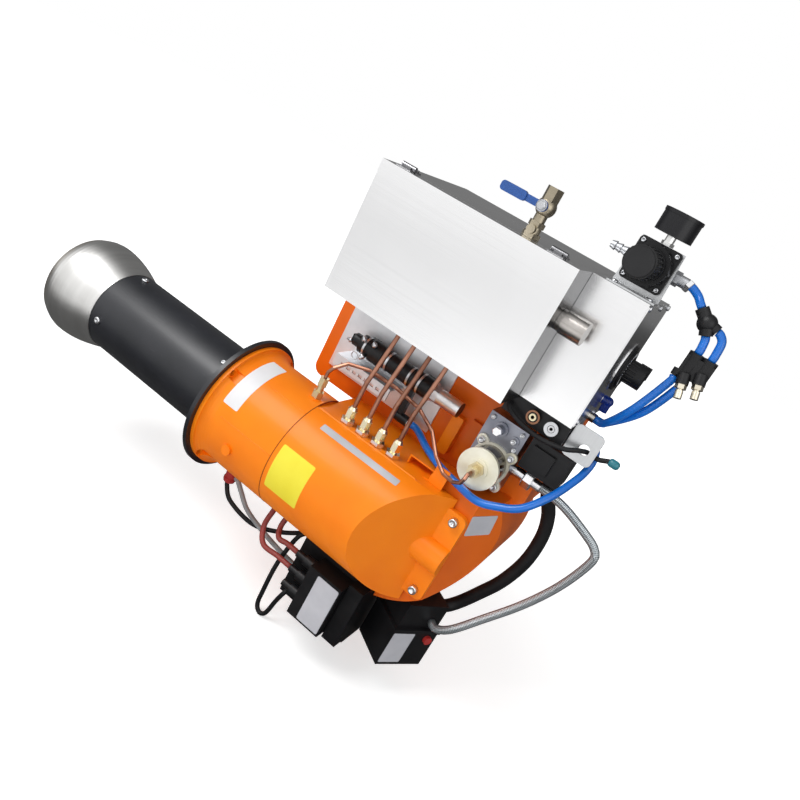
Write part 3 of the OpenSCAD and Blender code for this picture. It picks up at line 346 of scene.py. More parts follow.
brass = metal("brass", (0.52, 0.42, 0.24), (0.82, 0.73, 0.50), 0.2)
old_brass = metal("old_brass", (0.30, 0.26, 0.19), (0.60, 0.53, 0.40), 0.26)
pale_brass = metal("pale_brass", (0.60, 0.54, 0.42), (0.84, 0.79, 0.66), 0.2)
nickel = metal("nickel", (0.34, 0.32, 0.30), (0.58, 0.55, 0.52), 0.14)
copper = metal("copper", (0.22, 0.10, 0.065), (0.50, 0.25, 0.17), 0.24, patch=30.0)
bright_zinc = metal("bright_zinc", (0.48, 0.49, 0.51), (0.76, 0.77, 0.79), 0.22)
die_cast = metal("die_cast", (0.40, 0.41, 0.43), (0.58, 0.59, 0.61), 0.38, 300.0, 0.00008)
galvanised = metal("galvanised", (0.60, 0.61, 0.63), (0.84, 0.84, 0.86), 0.36, 90.0)
chrome = metal("chrome", (0.78, 0.78, 0.79), (0.86, 0.86, 0.87), 0.08)
copper_brown = metal("copper_brown", (0.20, 0.10, 0.06), (0.36, 0.18, 0.11), 0.3)
print("metals made")

# %% [markdown]
# ## Plastics, rubber and ceramic
# Moulded plastic has a fine spark-eroded grain. Rubber is duller and a little grey with dust.

# %% Plastics
def moulded(name, dark, light, rough, grain_scale=900.0, grain=0.00003, coat=0.0, shine=0.5):
    """Dust lies on a clouded colour; roughness = rough + 0.1 cloud + 0.06 dust."""
    f = Finish(name)
    cloud = f.noise(20.0, 3.0)
    fine = f.noise(grain_scale, 2.0)
    dust = f.noise(55.0, 5.0).ramp(0.6, 0.8)
    colour = f.blend(dark, light, cloud.ramp(0.3, 0.7))
    dusty = f.blend(colour, [c + 0.02 for c in light], 0.25 * dust)
    return f.paint(dusty, rough + 0.1 * cloud + 0.06 * dust, 0.0,
                   f.bump(fine, grain, 0.6), coat, 0.15, shine)


black_plastic = moulded("black_plastic", (0.005, 0.005, 0.006), (0.011, 0.011, 0.012), 0.36,
                        shine=0.3)
matt_black = moulded("matt_black", (0.007, 0.007, 0.008), (0.015, 0.015, 0.016), 0.5, shine=0.3)
rubber = moulded("black_rubber", (0.005, 0.005, 0.006), (0.011, 0.011, 0.012), 0.5, shine=0.3)
blue_sleeve = moulded("blue_sleeve", (0.003, 0.050, 0.22), (0.006, 0.085, 0.36), 0.3, coat=0.4)
blue_hose = moulded("blue_hose", (0.002, 0.125, 0.52), (0.004, 0.18, 0.72), 0.24, coat=0.35,
                    shine=0.4)
red_silicone = moulded("red_silicone", (0.20, 0.030, 0.024), (0.34, 0.055, 0.045), 0.4)
red_plastic = moulded("red_plastic", (0.34, 0.018, 0.016), (0.50, 0.030, 0.026), 0.34, coat=0.3)
ivory = moulded("ivory_ceramic", (0.66, 0.62, 0.52), (0.80, 0.77, 0.68), 0.16, coat=0.7)
white_film = moulded("white_film", (0.74, 0.75, 0.77), (0.80, 0.81, 0.83), 0.42, 60.0, 0.00002)
silver_film = moulded("silver_film", (0.46, 0.47, 0.51), (0.58, 0.59, 0.63), 0.3, 60.0, 0.00002)
yellow_film = moulded("yellow_film", (0.80, 0.68, 0.02), (0.88, 0.78, 0.05), 0.4, 60.0, 0.00002)
teal = moulded("teal_cap", (0.010, 0.13, 0.17), (0.018, 0.20, 0.25), 0.36, coat=0.3)
grey_sleeve = moulded("grey_sleeve", (0.20, 0.21, 0.22), (0.34, 0.36, 0.37), 0.5)
print("plastics made")

# %% [markdown]
# ## Handing out the finishes
# Each solid gets the finish of its real piece. The oil heater on the front wall is black with a
# bright steel end cap; as it is one solid, its finish changes over at a distance along X.

# %% Two finishes on one solid
heater_cap_x, heater_bore_shade_x = 0.2235, 0.2655
barrel_front_y, barrel_back_y = 0.0038, 0.0358
coupling_x = 0.3572
gauge_stem_z, nut_top_z = 0.4520, 0.0842


def heater_finish():
    """Black barrel, a bright cap beyond heater_cap_x and a dark end beyond a further x: painted shade
    of the bore.
    """
    f = Finish("heater_finish")
    x = f.axis(0)
    cap = x.above(heater_cap_x)
    cloud = f.noise(20.0, 3.0)
    fine = f.noise(500.0, 2.0)
    # painted shade: beyond this x the end is dark, standing for the shade inside the bore
    bore_shade = x.above(heater_bore_shade_x)
    black = f.blend((0.004, 0.004, 0.005), (0.012, 0.012, 0.013), cloud.ramp(0.3, 0.7))
    colour = f.blend(black, (0.86, 0.86, 0.86), cap * (1.0 - bore_shade))
    return f.paint(colour, 0.30 + 0.1 * cloud - 0.02 * cap, cap * (1.0 - bore_shade),
                   f.bump(fine, 0.00003, 0.5), shine=0.3)


def lance_finish():
    """Brass in patches: roughness = 0.22 + 0.15 patch."""
    f = Finish("lance_finish")
    patch = f.noise(30.0, 3.0)
    colour = f.blend((0.55, 0.44, 0.24), (0.80, 0.70, 0.46), patch)
    return f.paint(colour, 0.22 + 0.15 * patch, 1.0, f.bump(f.noise(400.0), 0.00003, 0.5))


def pump_finish():
    """Cream zinc on the cover disc and the flange, dark chrome on the barrel between them."""
    f = Finish("pump_finish")
    y = f.axis(1)
    barrel = y.above(barrel_front_y) * (1.0 - y.above(barrel_back_y))
    patch = f.noise(30.0, 3.0)
    cream = f.blend((0.72, 0.68, 0.52), (0.88, 0.86, 0.74), patch.ramp(0.3, 0.6))
    colour = f.blend(cream, (0.13, 0.115, 0.10), barrel)
    return f.paint(colour, 0.34 - 0.14 * barrel + 0.1 * patch, 0.55 + 0.45 * barrel,
                   f.bump(f.noise(500.0), 0.00002, 0.4))


def block_finish():
    """A milled block: die casting, with a bright plated coupling on its right."""
    f = Finish("block_finish")
    plated = f.axis(0).above(coupling_x)
    grain = f.noise(300.0, 2.0)
    cloud = f.noise(20.0, 3.0)
    cast = f.blend((0.20, 0.21, 0.25), (0.36, 0.37, 0.42), cloud.ramp(0.3, 0.7))
    colour = f.blend(cast, (0.82, 0.82, 0.83), plated)
    return f.paint(colour, 0.34 - 0.16 * plated + 0.1 * cloud, 1.0, f.bump(grain, 0.00005, 0.4))


def stepped_finish(name, height, below, above, rough):
    """Metal of one colour below a height; above it another metal, or plastic if it is dark."""
    f = Finish(name)
    upper = f.axis(2).above(height)
    cloud = f.noise(30.0, 3.0)
    colour = f.blend(below, above, upper)
    plastic = 1.0 - upper if max(above) < 0.1 else 1.0
    return f.paint(colour, rough + 0.12 * cloud, plastic, f.bump(f.noise(500.0), 0.00003, 0.4),
                   shine=0.3)


gauge_finish = stepped_finish("gauge_finish", gauge_stem_z, (0.80, 0.80, 0.79),
                              (0.008, 0.008, 0.010), 0.2)
nut_finish = stepped_finish("nut_finish", nut_top_z, (0.74, 0.74, 0.75), (0.84, 0.76, 0.54), 0.16)
print("two-part finishes made")

# %% [markdown]
# The table gives each solid its finish by name. The hoses and cables are not in it, because they
# are drawn anew further down.

# %% One finish for each solid
finish_of = {
    "mount_flange": tube_black, "blast_tube": tube_black, "nozzle_head": head_steel,
    "front_duct": orange, "main_housing": orange, "fan_housing": shaded_scroll_orange, "air_inlet": orange,
    "angle_frame": orange, "air_band": bright_zinc, "fan_wheel": galvanised,
    "motor": motor_grey, "air_diffuser": plate_sheet, "oil_lance": lance_finish(),
    "electrodes": ivory, "photocell": red_plastic, "tank_shell": tank_sheet,
    "tank_lid": lid_sheet, "valve_body": old_brass, "valve_lever": blue_sleeve,
    "heater_coupling": nickel, "control_cabinet": cabinet_sheet,
    "gland_box": black_plastic, "bracket_plate": plate_sheet,
    "thermostat_dial": matt_black, "thermostat_knob": black_plastic,
    "regulator_bracket": plate_sheet, "regulator_body": die_cast,
    "regulator_bonnet": black_plastic, "regulator_spindle": brass,
    "regulator_knob": matt_black, "pressure_gauge": gauge_finish,
    "y_connector": black_plastic, "flow_block": black_plastic, "flow_screw_1": pale_brass,
    "flow_screw_2": pale_brass, "pump_block": block_finish(), "pump_head": pump_finish(),
    "pump_outlet": brass, "solenoid_valve": heater_finish(), "valve_plate": galvanised,
    "feed_pipes": copper, "pipe_fittings": nut_finish, "thin_pipe": copper,
    "terminal_box": black_plastic, "transformer": black_plastic,
    "control_box": black_plastic, "reset_button": red_plastic,
}
for name, material in finish_of.items():
    mesh = nodes[name].data
    mesh.materials.clear()
    mesh.materials.append(material)
print("finishes on", len(finish_of), "solids")

# %% [markdown]
# ## Surfaces from arrays
# Every new piece is a grid of points: rows along one parameter, columns along the other. One
# function turns such a grid into a mesh, and closes it round where it should close.

# %% Grid to mesh
def grid_mesh(name, points, material, close_rows=False, close_cols=False, caps=False,
              body="burner", smooth=True, uv=None):
    """points has shape (rows, columns, 3). Quads join neighbours; caps close the first and last row."""
    rows, cols = points.shape[:2]
    i = np.arange(rows if close_rows else rows - 1)
    j = np.arange(cols if close_cols else cols - 1)
    i, j = (a.ravel() for a in np.meshgrid(i, j, indexing="ij"))
    i2, j2 = (i + 1) % rows, (j + 1) % cols
    quads = np.stack([i * cols + j, i * cols + j2, i2 * cols + j2, i2 * cols + j], axis=1)
    faces = quads.tolist()
    if caps:
        faces.append(list(range(cols))[::-1])
        faces.append(list(range((rows - 1) * cols, rows * cols)))
    mesh = bpy.data.meshes.new(name)
    mesh.from_pydata(points.reshape(-1, 3).tolist(), [], faces)
    mesh.polygons.foreach_set("use_smooth", [smooth] * len(mesh.polygons))
    if uv is not None:
        layer = mesh.uv_layers.new(name="route")
        corner = np.array([v for face in faces for v in face])
        layer.data.foreach_set("uv", uv.reshape(-1, 2)[corner].ravel())
    mesh.materials.append(material)
    made = in_scene(name, mesh)
    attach(made, body)
    return made


def lengths_along(line):
    """The length of a line of points from its start to each of them."""
    return np.concatenate([[0], np.cumsum(np.linalg.norm(np.diff(line, axis=0), axis=1))])


def square_axes(axis):
    """The axis as a unit vector and two unit directions square to it."""
    a = np.array(axis, float)
    a = a / np.linalg.norm(a)
    side = np.cross(a, (0, 0, 1) if abs(a[2]) < 0.9 else (1, 0, 0))
    side = side / np.linalg.norm(side)
    return a, side, np.cross(a, side)


def turned(name, place, axis, profile, material, body="burner", sides=32, flats=0):
    """A lathe piece: each (height, radius) of the profile is carried round the axis.
    With n flats the radius is r / cos(a - pi / n), a being the angle within one flat."""
    a, s, t = square_axes(axis)
    angle = np.linspace(0, 2 * np.pi, sides, endpoint=False)
    way = np.cos(angle)[:, None] * s + np.sin(angle)[:, None] * t
    h, r = np.array(profile, float).T
    reach = np.ones(sides)
    if flats:
        w = np.pi / flats
        reach = 1 / np.cos((angle % (2 * w)) - w)
    points = (np.array(place) + h[:, None, None] * a
              + r[:, None, None] * reach[None, :, None] * way[None])
    return grid_mesh(name, points, material, close_cols=True, caps=True, body=body, smooth=not flats)


# %% [markdown]
# ## Screws
# A screw head is a turned profile: a short wall, a rounded shoulder, a flat top and a round recess,
# which is the same profile carried on inwards. A hexagon head has six flats and no recess.

# %% Screws
tube_radius = 0.0625
pump_x, pump_z, pump_pitch = 0.333, 0.126, 0.0213
bonnet_x, bonnet_z, bonnet_pitch = 0.369, 0.416, 0.020
screw_count = [0]


def screw(place, axis, radius, material=bright_zinc, body="burner", kind="pan", name="screw"):
    """A screw head whose seat is at place and whose head points along axis, in metres."""
    screw_count[0] += 1
    r = radius
    if kind == "socket":
        profile = [(0, r), (1.1 * r, r), (1.25 * r, 0.85 * r), (1.25 * r, 0.55 * r),
                   (0.6 * r, 0.5 * r), (0.6 * r, 0.02 * r)]
    elif kind == "hex":
        profile = [(0, r), (0.75 * r, r), (0.85 * r, 0.88 * r), (0.85 * r, 0.02 * r)]
    else:
        bow = np.linspace(0.15, 1.0, 6)
        profile = [(0, r), (0.18 * r, r)]
        profile += [(0.18 * r + 0.42 * r * math.sin(0.5 * math.pi * b),
                     r * (0.42 + 0.58 * math.cos(0.5 * math.pi * b * 0.82))) for b in bow]
        profile += [(0.58 * r, 0.34 * r), (0.34 * r, 0.26 * r), (0.34 * r, 0.01 * r)]
    flats = 6 if kind == "hex" else 0
    label = f"{name}_{screw_count[0]:02d}"
    return turned(label, place, axis, profile, material, body, 24, flats)


def on_tube(x, degrees, radius):
    """A point of a round tube about the X axis and its outward direction; 90 is the top."""
    a = math.radians(degrees)
    out = np.array((0.0, math.cos(a), math.sin(a)))
    return np.array((x, 0.0, 0.0)) + radius * out, out


for degrees in (92, 182, 272, 2):
    place, out = on_tube(-0.229, degrees, tube_radius)
    screw(place, out, 0.0052, bright_zinc, name="head_screw")
for degrees in (124, 244, 4):
    place, out = on_tube(-0.026, degrees, tube_radius)
    screw(place, out, 0.0036, bright_zinc, name="tube_screw")
for z in (-0.054, 0.054):
    screw((0.343, -0.004, z), (0, -1, 0), 0.0058, bright_zinc, kind="socket", name="ear_bolt")
for x in (0.348, 0.390):
    screw((x, 0.034, 0.3843), (0, 0, 1), 0.0042, bright_zinc, name="bracket_screw")
for y in (0.114, 0.182, 0.032):
    for z in (0.3775, 0.2305):
        screw((0.3965, y, z), (1, 0, 0), 0.0036, bright_zinc, name="cabinet_screw")
for sx in (-1, 1):
    for sz in (-1, 1):
        screw((pump_x + sx * pump_pitch, 0.036, pump_z + sz * pump_pitch), (0, -1, 0), 0.0042,
              bright_zinc, kind="socket", name="pump_screw")
        screw((bonnet_x + sx * bonnet_pitch, 0.049, bonnet_z + sz * bonnet_pitch), (0, -1, 0),
              0.0026, bright_zinc, kind="socket", name="bonnet_screw")
print("screws:", screw_count[0])

# %% [markdown]
# ## Blank plates
# The castings and boxes carry stuck-on plates. They are left blank here. Each is a thin sheet that
# is bent to the surface below it, 0.3 mm thick, with its corners cut round.

# %% Plates
duct_radius = 0.082
flare_end_x, flare_length, flare_rise = 0.030, 0.018, 0.011


def plate_grid(width, height, corner, step=0.0015):
    """Evenly spaced points round the outline of a rectangle with round corners."""
    w, h = width / 2 - corner, height / 2 - corner
    outline = []
    for k, (sx, sy) in enumerate(((1, 1), (-1, 1), (-1, -1), (1, -1))):
        a = np.linspace(k * np.pi / 2, (k + 1) * np.pi / 2, 7)
        outline.append(np.stack([sx * w + corner * np.cos(a), sy * h + corner * np.sin(a)], 1))
    outline = np.concatenate(outline + [outline[0][:1]])
    far = lengths_along(outline)
    even = np.linspace(0, far[-1], int(far[-1] / step) + 8, endpoint=False)
    return np.stack([np.interp(even, far, outline[:, k]) for k in range(2)], axis=1)


def stuck_plate(name, bend, width, height, material, corner=0.002, rings=14, thick=0.0003):
    """bend(u, v, lift) gives the point of the carrying surface at plate coordinates u, v."""
    edge = plate_grid(width, height, corner)
    share = np.concatenate([np.linspace(0.02, 1, rings), [1.0]])
    lift = np.concatenate([np.full(rings, thick), [-0.0001]])
    u = share[:, None] * edge[None, :, 0]
    v = share[:, None] * edge[None, :, 1]
    points = bend(u, v, np.broadcast_to(lift[:, None], u.shape))
    return grid_mesh(name, points[::-1], material, close_cols=True, caps=True, smooth=False)


def on_cylinder(x0, degrees, radius, flare=False):
    """u runs along X, v runs round the X axis, upwards on the front. Near the flange the casting
    flares: there r = radius + 11 mm (1 - sin a), where cos a = (30 mm - x) / 18 mm."""
    def bend(u, v, lift):
        a = math.radians(degrees) - v / radius
        r = radius + lift
        if flare:
            c = np.clip((flare_end_x - (x0 + u)) / flare_length, 0, 1)
            r = r + flare_rise * (1 - np.sqrt(1 - c * c))
        return np.stack([x0 + u, r * np.cos(a), r * np.sin(a)], axis=-1)
    return bend


def on_flat(place, right, up):
    """u runs along right and v along up on a flat face."""
    right, up = np.array(right, float), np.array(up, float)
    out = np.cross(right, up)

    def bend(u, v, lift):
        return (np.array(place) + u[..., None] * right + v[..., None] * up
                + lift[..., None] * out)
    return bend


stuck_plate("plate_yellow", on_cylinder(0.155, 176.5, duct_radius), 0.052, 0.063, yellow_film)
stuck_plate("plate_silver", on_cylinder(0.2095, 122, duct_radius), 0.121, 0.0095, silver_film,
            0.001)
stuck_plate("plate_duct", on_cylinder(0.0375, 126, duct_radius, True), 0.0245, 0.094, white_film)
stuck_plate("plate_transformer", on_flat((0.2555, -0.0440, -0.139), (1, 0, 0), (0, 0, 1)),
            0.035, 0.073, silver_film)
along, tip = np.array((0.503, 0.864, 0.0)), math.radians(8)
level_way = math.cos(tip) * along + math.sin(tip) * np.array((0, 0, 1.0))
upright = -math.sin(tip) * along + math.cos(tip) * np.array((0, 0, 1.0))
stuck_plate("plate_scroll", on_flat(np.array((0.3573, 0.0043, 0.0585)) + 0.0215 * along,
                                    level_way, upright), 0.040, 0.030, silver_film)
stuck_plate("plate_control", on_flat((0.350 + 0.555 * 0.0185, 0.832 * 0.0185, -0.1535),
                                     (0.555, 0.832, 0), (0, 0, 1)), 0.034, 0.052, silver_film)
print("plates stuck on")

# %% [markdown]
# ## Dials and glands
# The pressure gauge lies on its back, so its face looks up. It has a white face, black marks over
# three quarters of a turn, a pointer and a clear cover. The thermostat's ring has white marks. A
# mark is a thin bar that lies radially at radius r: its middle is centre + r (cos a, sin a).

# %% Rings and marks
def ring(name, place, axis, inner, outer, height, material, body="burner", sides=40):
    """A flat ring: a rectangle carried round the axis."""
    a, s, t = square_axes(axis)
    angle = np.linspace(0, 2 * np.pi, sides, endpoint=False)
    way = np.cos(angle)[:, None] * s + np.sin(angle)[:, None] * t
    h, r = np.array([(0, inner), (0, outer), (height, outer), (height, inner)], float).T
    points = np.array(place) + h[:, None, None] * a + r[:, None, None] * way[None]
    return grid_mesh(name, points, material, close_rows=True, close_cols=True, body=body,
                     smooth=False)


def marks(name, centre, axis, zero, angles, inner, outer, width, material, body="burner"):
    """Radial bars on a dial: one closed box for each angle, turned from the direction zero."""
    a = np.array(axis, float)
    zero = np.array(zero, float)
    other = np.cross(a, zero)
    points, faces = [], []
    for k, degrees in enumerate(angles):
        w = math.radians(degrees)
        way = math.cos(w) * zero + math.sin(w) * other
        side = np.cross(a, way) * width / 2
        for lift in (0.0, 0.0003):
            for r, sign in ((inner, -1), (outer, -1), (outer, 1), (inner, 1)):
                points.append(np.array(centre) + lift * a + r * way + sign * side)
        b = 8 * k
        faces += [[b + 3, b + 2, b + 1, b], [b + 4, b + 5, b + 6, b + 7]]
        faces += [[b + j, b + (j + 1) % 4, b + 4 + (j + 1) % 4, b + 4 + j] for j in range(4)]
    mesh = bpy.data.meshes.new(name)
    mesh.from_pydata([q.tolist() for q in points], [], faces)
    mesh.materials.append(material)
    made = in_scene(name, mesh)
    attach(made, body)
    return made


# %% [markdown]
# The gauge is stacked upwards from its face: the marks lie on the face, the pointer on the marks
# and the cover above all. The thermostat's pointer rides on its knob, its marks stay where they are.

# %% Gauge and thermostat
def clear_cover():
    """Clear plastic that lets most of the light through."""
    f = Finish("clear_cover")
    f.paint((0.9, 0.92, 0.93), 0.05)
    f.shader.inputs["Alpha"].default_value = 0.18
    return f.material


gauge = np.array((0.369, 0.0756, 0.4763))
up_axis, front = (0, 0, 1), (0, -1, 0)
on_face, on_marks, under_glass = (0, 0, 0.0003), (0, 0, 0.0007), (0, 0, 0.0013)
turned("gauge_face", gauge, up_axis, [(0, 0.0198), (0.0003, 0.0198), (0.0003, 0.0001)], white_film)
marks("gauge_marks", gauge + on_face, up_axis, front, range(-135, 136, 27), 0.0135, 0.0175,
      0.0008, matt_black)
marks("gauge_fine_marks", gauge + on_face, up_axis, front, np.arange(-135, 136, 5.4), 0.0158,
      0.0175, 0.0003, matt_black)
marks("gauge_pointer", gauge + on_marks, up_axis, front, [-70], -0.004, 0.0145, 0.0009,
      matt_black)
turned("gauge_hub", gauge + on_face, up_axis, [(0, 0.002), (0.001, 0.002), (0.0012, 0.0002)],
       matt_black)
turned("gauge_cover", gauge + under_glass, up_axis, [(0, 0.0199), (0.0004, 0.0198),
       (0.0006, 0.014), (0.0006, 0.0002)], clear_cover())
marks("thermostat_marks", (0.4033, 0.112, 0.297), (1, 0, 0), up_axis, range(-150, 151, 10), 0.0195,
      0.0238, 0.0009, white_film)
ring("thermostat_rim", (0.39652, 0.112, 0.297), (1, 0, 0), 0.0302, 0.0322, 0.0012, chrome)
marks("thermostat_pointer", (0.42590, 0.112, 0.297), (1, 0, 0), up_axis, [0], 0.003, 0.0135, 0.0012,
      white_film, "thermostat")

# %% [markdown]
# Each of the two cable glands below the cabinet is a ring with a smaller seal in it. The table
# gives the place along X, the inner and outer radius and the height.

# %% Glands
gland_y, gland_z = 0.0249, 0.2087
gland_rings = [
    ("ring_right", 0.377, 0.0046, 0.0086, 0.0012, bright_zinc),
    ("seal_right", 0.377, 0.0020, 0.0040, 0.0010, galvanised),
    ("ring_left", 0.352, 0.0062, 0.0084, 0.0014, copper_brown),
    ("seal_left", 0.352, 0.0022, 0.0044, 0.0022, brass),
]
for part, x, inner, outer, height, material in gland_rings:
    ring(f"gland_{part}", (x, gland_y, gland_z), front, inner, outer, height, material)
print("dials and glands made")

# %% [markdown]
# ## Hoses and cables
# A hose is a circle carried along a smooth line through a few points of its route. The line is a
# Catmull-Rom curve, resampled at even steps, and the circle's sideways direction is carried along
# so that it never twists. Each hose also gets its own coordinates, round and along, for its braid.

# %% Route and tube
def smooth_line(points, step):
    """Catmull-Rom through the points, with the ends mirrored, then even steps along its length."""
    p = np.array(points, float)
    p = np.concatenate([[2 * p[0] - p[1]], p, [2 * p[-1] - p[-2]]])
    t = np.linspace(0, 1, 24, endpoint=False)[:, None]
    parts = []
    for a, b, c, d in zip(p[:-3], p[1:-2], p[2:-1], p[3:]):
        parts.append(0.5 * (2 * b + (c - a) * t + (2 * a - 5 * b + 4 * c - d) * t ** 2
                            + (3 * b - a - 3 * c + d) * t ** 3))
    line = np.concatenate(parts + [p[-2][None]])
    far = lengths_along(line)
    even = np.linspace(0, far[-1], max(int(far[-1] / step), 6) + 1)
    return np.stack([np.interp(even, far, line[:, k]) for k in range(3)], axis=1)


def carried_sides(line):
    """Two sideways directions at each point. The first one is carried on from point to point,
    less its part along the tangent: s - (s . t) t, so that the hose never twists."""
    tangent = np.gradient(line, axis=0)
    tangent /= np.linalg.norm(tangent, axis=1)[:, None]
    side = np.zeros_like(line)
    side[0] = square_axes(tangent[0])[1]
    for k in range(1, len(line)):
        s = side[k - 1] - tangent[k] * (side[k - 1] @ tangent[k])
        side[k] = s / np.linalg.norm(s)
    return side, np.cross(tangent, side)


def hose(name, route_mm, diameter, material, node=None, sides=20, step=None):
    """A round hose along a route given in millimetres; returns the piece, its line and length."""
    line = smooth_line(np.array(route_mm) / 1000, step or diameter * 0.5)
    side, other = carried_sides(line)
    angle = np.linspace(0, 2 * np.pi, sides, endpoint=False)
    circle = (np.cos(angle)[None, :, None] * side[:, None]
              + np.sin(angle)[None, :, None] * other[:, None])
    points = line[:, None] + diameter / 2 * circle
    far = lengths_along(line)
    uv = np.stack(np.broadcast_arrays(angle[None] / (2 * np.pi), far[:, None]), axis=-1)
    made = grid_mesh(name, points, material, close_cols=True, caps=True, uv=uv)
    if node:
        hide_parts(node)
    return made, line, far[-1]


def free_hose(name, route_mm, diameter, material, node):
    """A hose whose both ends go into the burner; its length is printed."""
    made, line, length = hose(name, route_mm, diameter, material, node)
    print(name, "is", round(length * 1000), "mm long")
    return made


# %% [markdown]
# The oil hose has a jacket of braided wire: two sets of strands that wind opposite ways. With u
# round the hose and v along it, one set is bright where u + v repeats and the other where u - v
# does. The product of the two sine waves is the woven height.

# %% Wire braid
strands_round, strands_along = 8, 1500.0


def wire_braid():
    """weave = 0.5 + 0.5 sin(16 pi u + 1500 v) sin(16 pi u - 1500 v)."""
    f = Finish("wire_braid")
    at = f.node("ShaderNodeUVMap", {"uv_map": "route"}, {})
    u = f.node("ShaderNodeSeparateXYZ", {}, {0: at}, 0)
    v = f.node("ShaderNodeSeparateXYZ", {}, {0: at}, 1)
    one = (u * (2 * math.pi * strands_round) + v * strands_along).wave()
    two = (u * (2 * math.pi * strands_round) - v * strands_along).wave()
    weave = (one * two) * 0.5 + 0.5
    colour = f.blend((0.18, 0.21, 0.23), (0.58, 0.62, 0.64), weave.ramp(0.15, 0.6))
    return f.paint(colour, 0.5 - 0.2 * weave, 0.85, f.bump(weave, 0.0006, 0.8))


braid = wire_braid()
print("wire braid made")

# %% [markdown]
# Each route is a list of points in millimetres, from one end of the hose to the other. The
# diameters follow the photograph. No bend is so tight that the hose would fold into itself.

# %% The hoses of this burner
blue_diameter, cable_diameter, lead_diameter = 0.0095, 0.0065, 0.0075
hose_outlet_route = [[411, 75.6, 416], [417, 75.6, 415.6], [427, 74, 411],
    [433.5, 71, 405.65], [437.36, 71, 402.44]]
hose_upper_1_route = [[457.2, 69, 378.85], [459.3, 69, 374.3], [461, 66, 364],
    [461, 66, 359.3]]
hose_upper_2_route = [[464.82, 71, 388.3], [469, 71, 387.17], [475, 69.4, 380.5],
    [477, 66, 366], [477, 66, 359.3]]
hose_lower_1_route = [[453, 66, 326.7], [453, 66, 318], [437, 71, 270], [418, 92, 233],
    [410, 98, 228.3], [404, 98, 228]]
hose_lower_2_route = [[464.5, 69, 326.7], [464.5, 69, 318], [447, 80, 270],
    [419, 105, 232], [410, 112, 226.3], [404, 112, 226]]
hose_long_route = [[409.3, 62, 214], [417, 62, 214], [428, 61.5, 208], [433, 58, 195],
    [433, 50, 182], [430, 36, 170], [420, 8, 148], [402, -14, 124], [378, -20, 110],
    [354, -18, 100], [322, -3, 96], [290, 8, 96.5], [258, 27, 98], [236, 46, 99.5],
    [224, 54, 100], [213.8, 54, 100]]
sag_route = [[319, 29.7, 208], [319, 24, 208], [327, 19, 202], [345, 18, 196.5],
    [372, 18, 194], [400, 22, 198], [415, 32, 203.5], [424, 48, 203], [437, 47, 203],
    [450, 46, 209], [460, 46, 209]]
conduit_route = [[404, 79, 141.7], [404, 79, 133], [409, 85, 116], [421, 97, 92],
    [429, 104, 60], [429, 106, 16], [418, 106, -28], [402, 104, -62], [386, 102, -92],
    [374, 90.2, -104], [362.9, 73.5, -104]]
braid_route = [[399, 60, 129], [412, 60, 129.4], [440, 60, 125], [476, 60, 112.5],
    [490, 60, 105], [496, 60, 93], [489, 60, 60], [476, 59, 24], [456, 56, -16],
    [430, 48, -56], [404, 36, -92], [385.8, 38.6, -108], [375.8, 45.3, -108]]
lead_1_route = [[-104, -14, 12], [-95, -14, 12], [-30, -20, -22], [60, -22, -48],
    [122, -17, -63], [129, -19, -80], [128, -24, -112], [142, -30, -132],
    [168, -28, -133], [191.7, -28, -133]]
lead_2_route = [[-104, 14, 12], [-95, 14, 12], [-30, 12, -22], [70, 0, -50],
    [140, -5, -61], [148, -10.5, -79], [148, -18, -100], [158, -29, -109],
    [172, -28, -108], [191.7, -28, -108]]
cell_route = [[41, -10, -104.3], [41, -10, -111], [58, -11, -128],
    [100, -2, -140], [140, 8, -127], [174, 18, -106], [184.7, 18, -106]]
loop_route = [[184.7, -2, -94], [179, -2.4, -95.2], [173.4, -5.6, -102], [170.6, -10.4, -116],
    [168.6, -17, -140], [168, -20, -166], [168.6, -20.4, -201], [169.2, -20.6, -217],
    [172.6, -20.8, -226.6], [179.4, -21, -230.6], [186, -21, -226.6], [189.4, -21.2, -216],
    [192, -21.4, -201], [195, -21.6, -188], [197.4, -20.6, -179], [198.8, -16.8, -173.2],
    [199, -10.3, -172]]
sleeve_route = [[49.3, -10, -94], [54, -10, -94.3], [66, -9, -106], [84, -6, -124], [112, -5, -134],
    [150, -5, -141], [177, -2, -146], [184.7, -2, -146]]

hose("outlet_hose", hose_outlet_route, blue_diameter, blue_hose, "hose_outlet", step=0.002)
hose("upper_hose_1", hose_upper_1_route, blue_diameter, blue_hose, "hose_upper", step=0.002)
hose("upper_hose_2", hose_upper_2_route, blue_diameter, blue_hose, "hose_upper", step=0.002)
free_hose("lower_hose_1", hose_lower_1_route, blue_diameter, blue_hose, "hose_lower_1")
free_hose("lower_hose_2", hose_lower_2_route, blue_diameter, blue_hose, "hose_lower_2")
free_hose("long_hose", hose_long_route, blue_diameter, blue_hose, "hose_long")
free_hose("pump_cable", sag_route, 0.006, rubber, "sag_cable")
free_hose("cable_conduit", conduit_route, 0.018, rubber, "conduit")
free_hose("oil_hose", braid_route, 0.011, braid, "braided_hose")
free_hose("spark_lead_1", lead_1_route, lead_diameter, red_silicone, "ignition_lead_1")
free_hose("spark_lead_2", lead_2_route, lead_diameter, red_silicone, "ignition_lead_2")
free_hose("photocell_cable", cell_route, cable_diameter, rubber, "cell_cable")
free_hose("earth_cable", loop_route, cable_diameter, rubber, "loop_cable")
free_hose("sleeved_cable", sleeve_route, 0.007, grey_sleeve, "sleeve_cable")
turned("cable_cap", (0.4485, 0.046, 0.209), (1, 0, 0),
       [(0, 0.0028), (0.0005, 0.0044), (0.003, 0.0052), (0.009, 0.0052), (0.0115, 0.0044),
        (0.013, 0.0026), (0.0133, 0.0002)], teal)
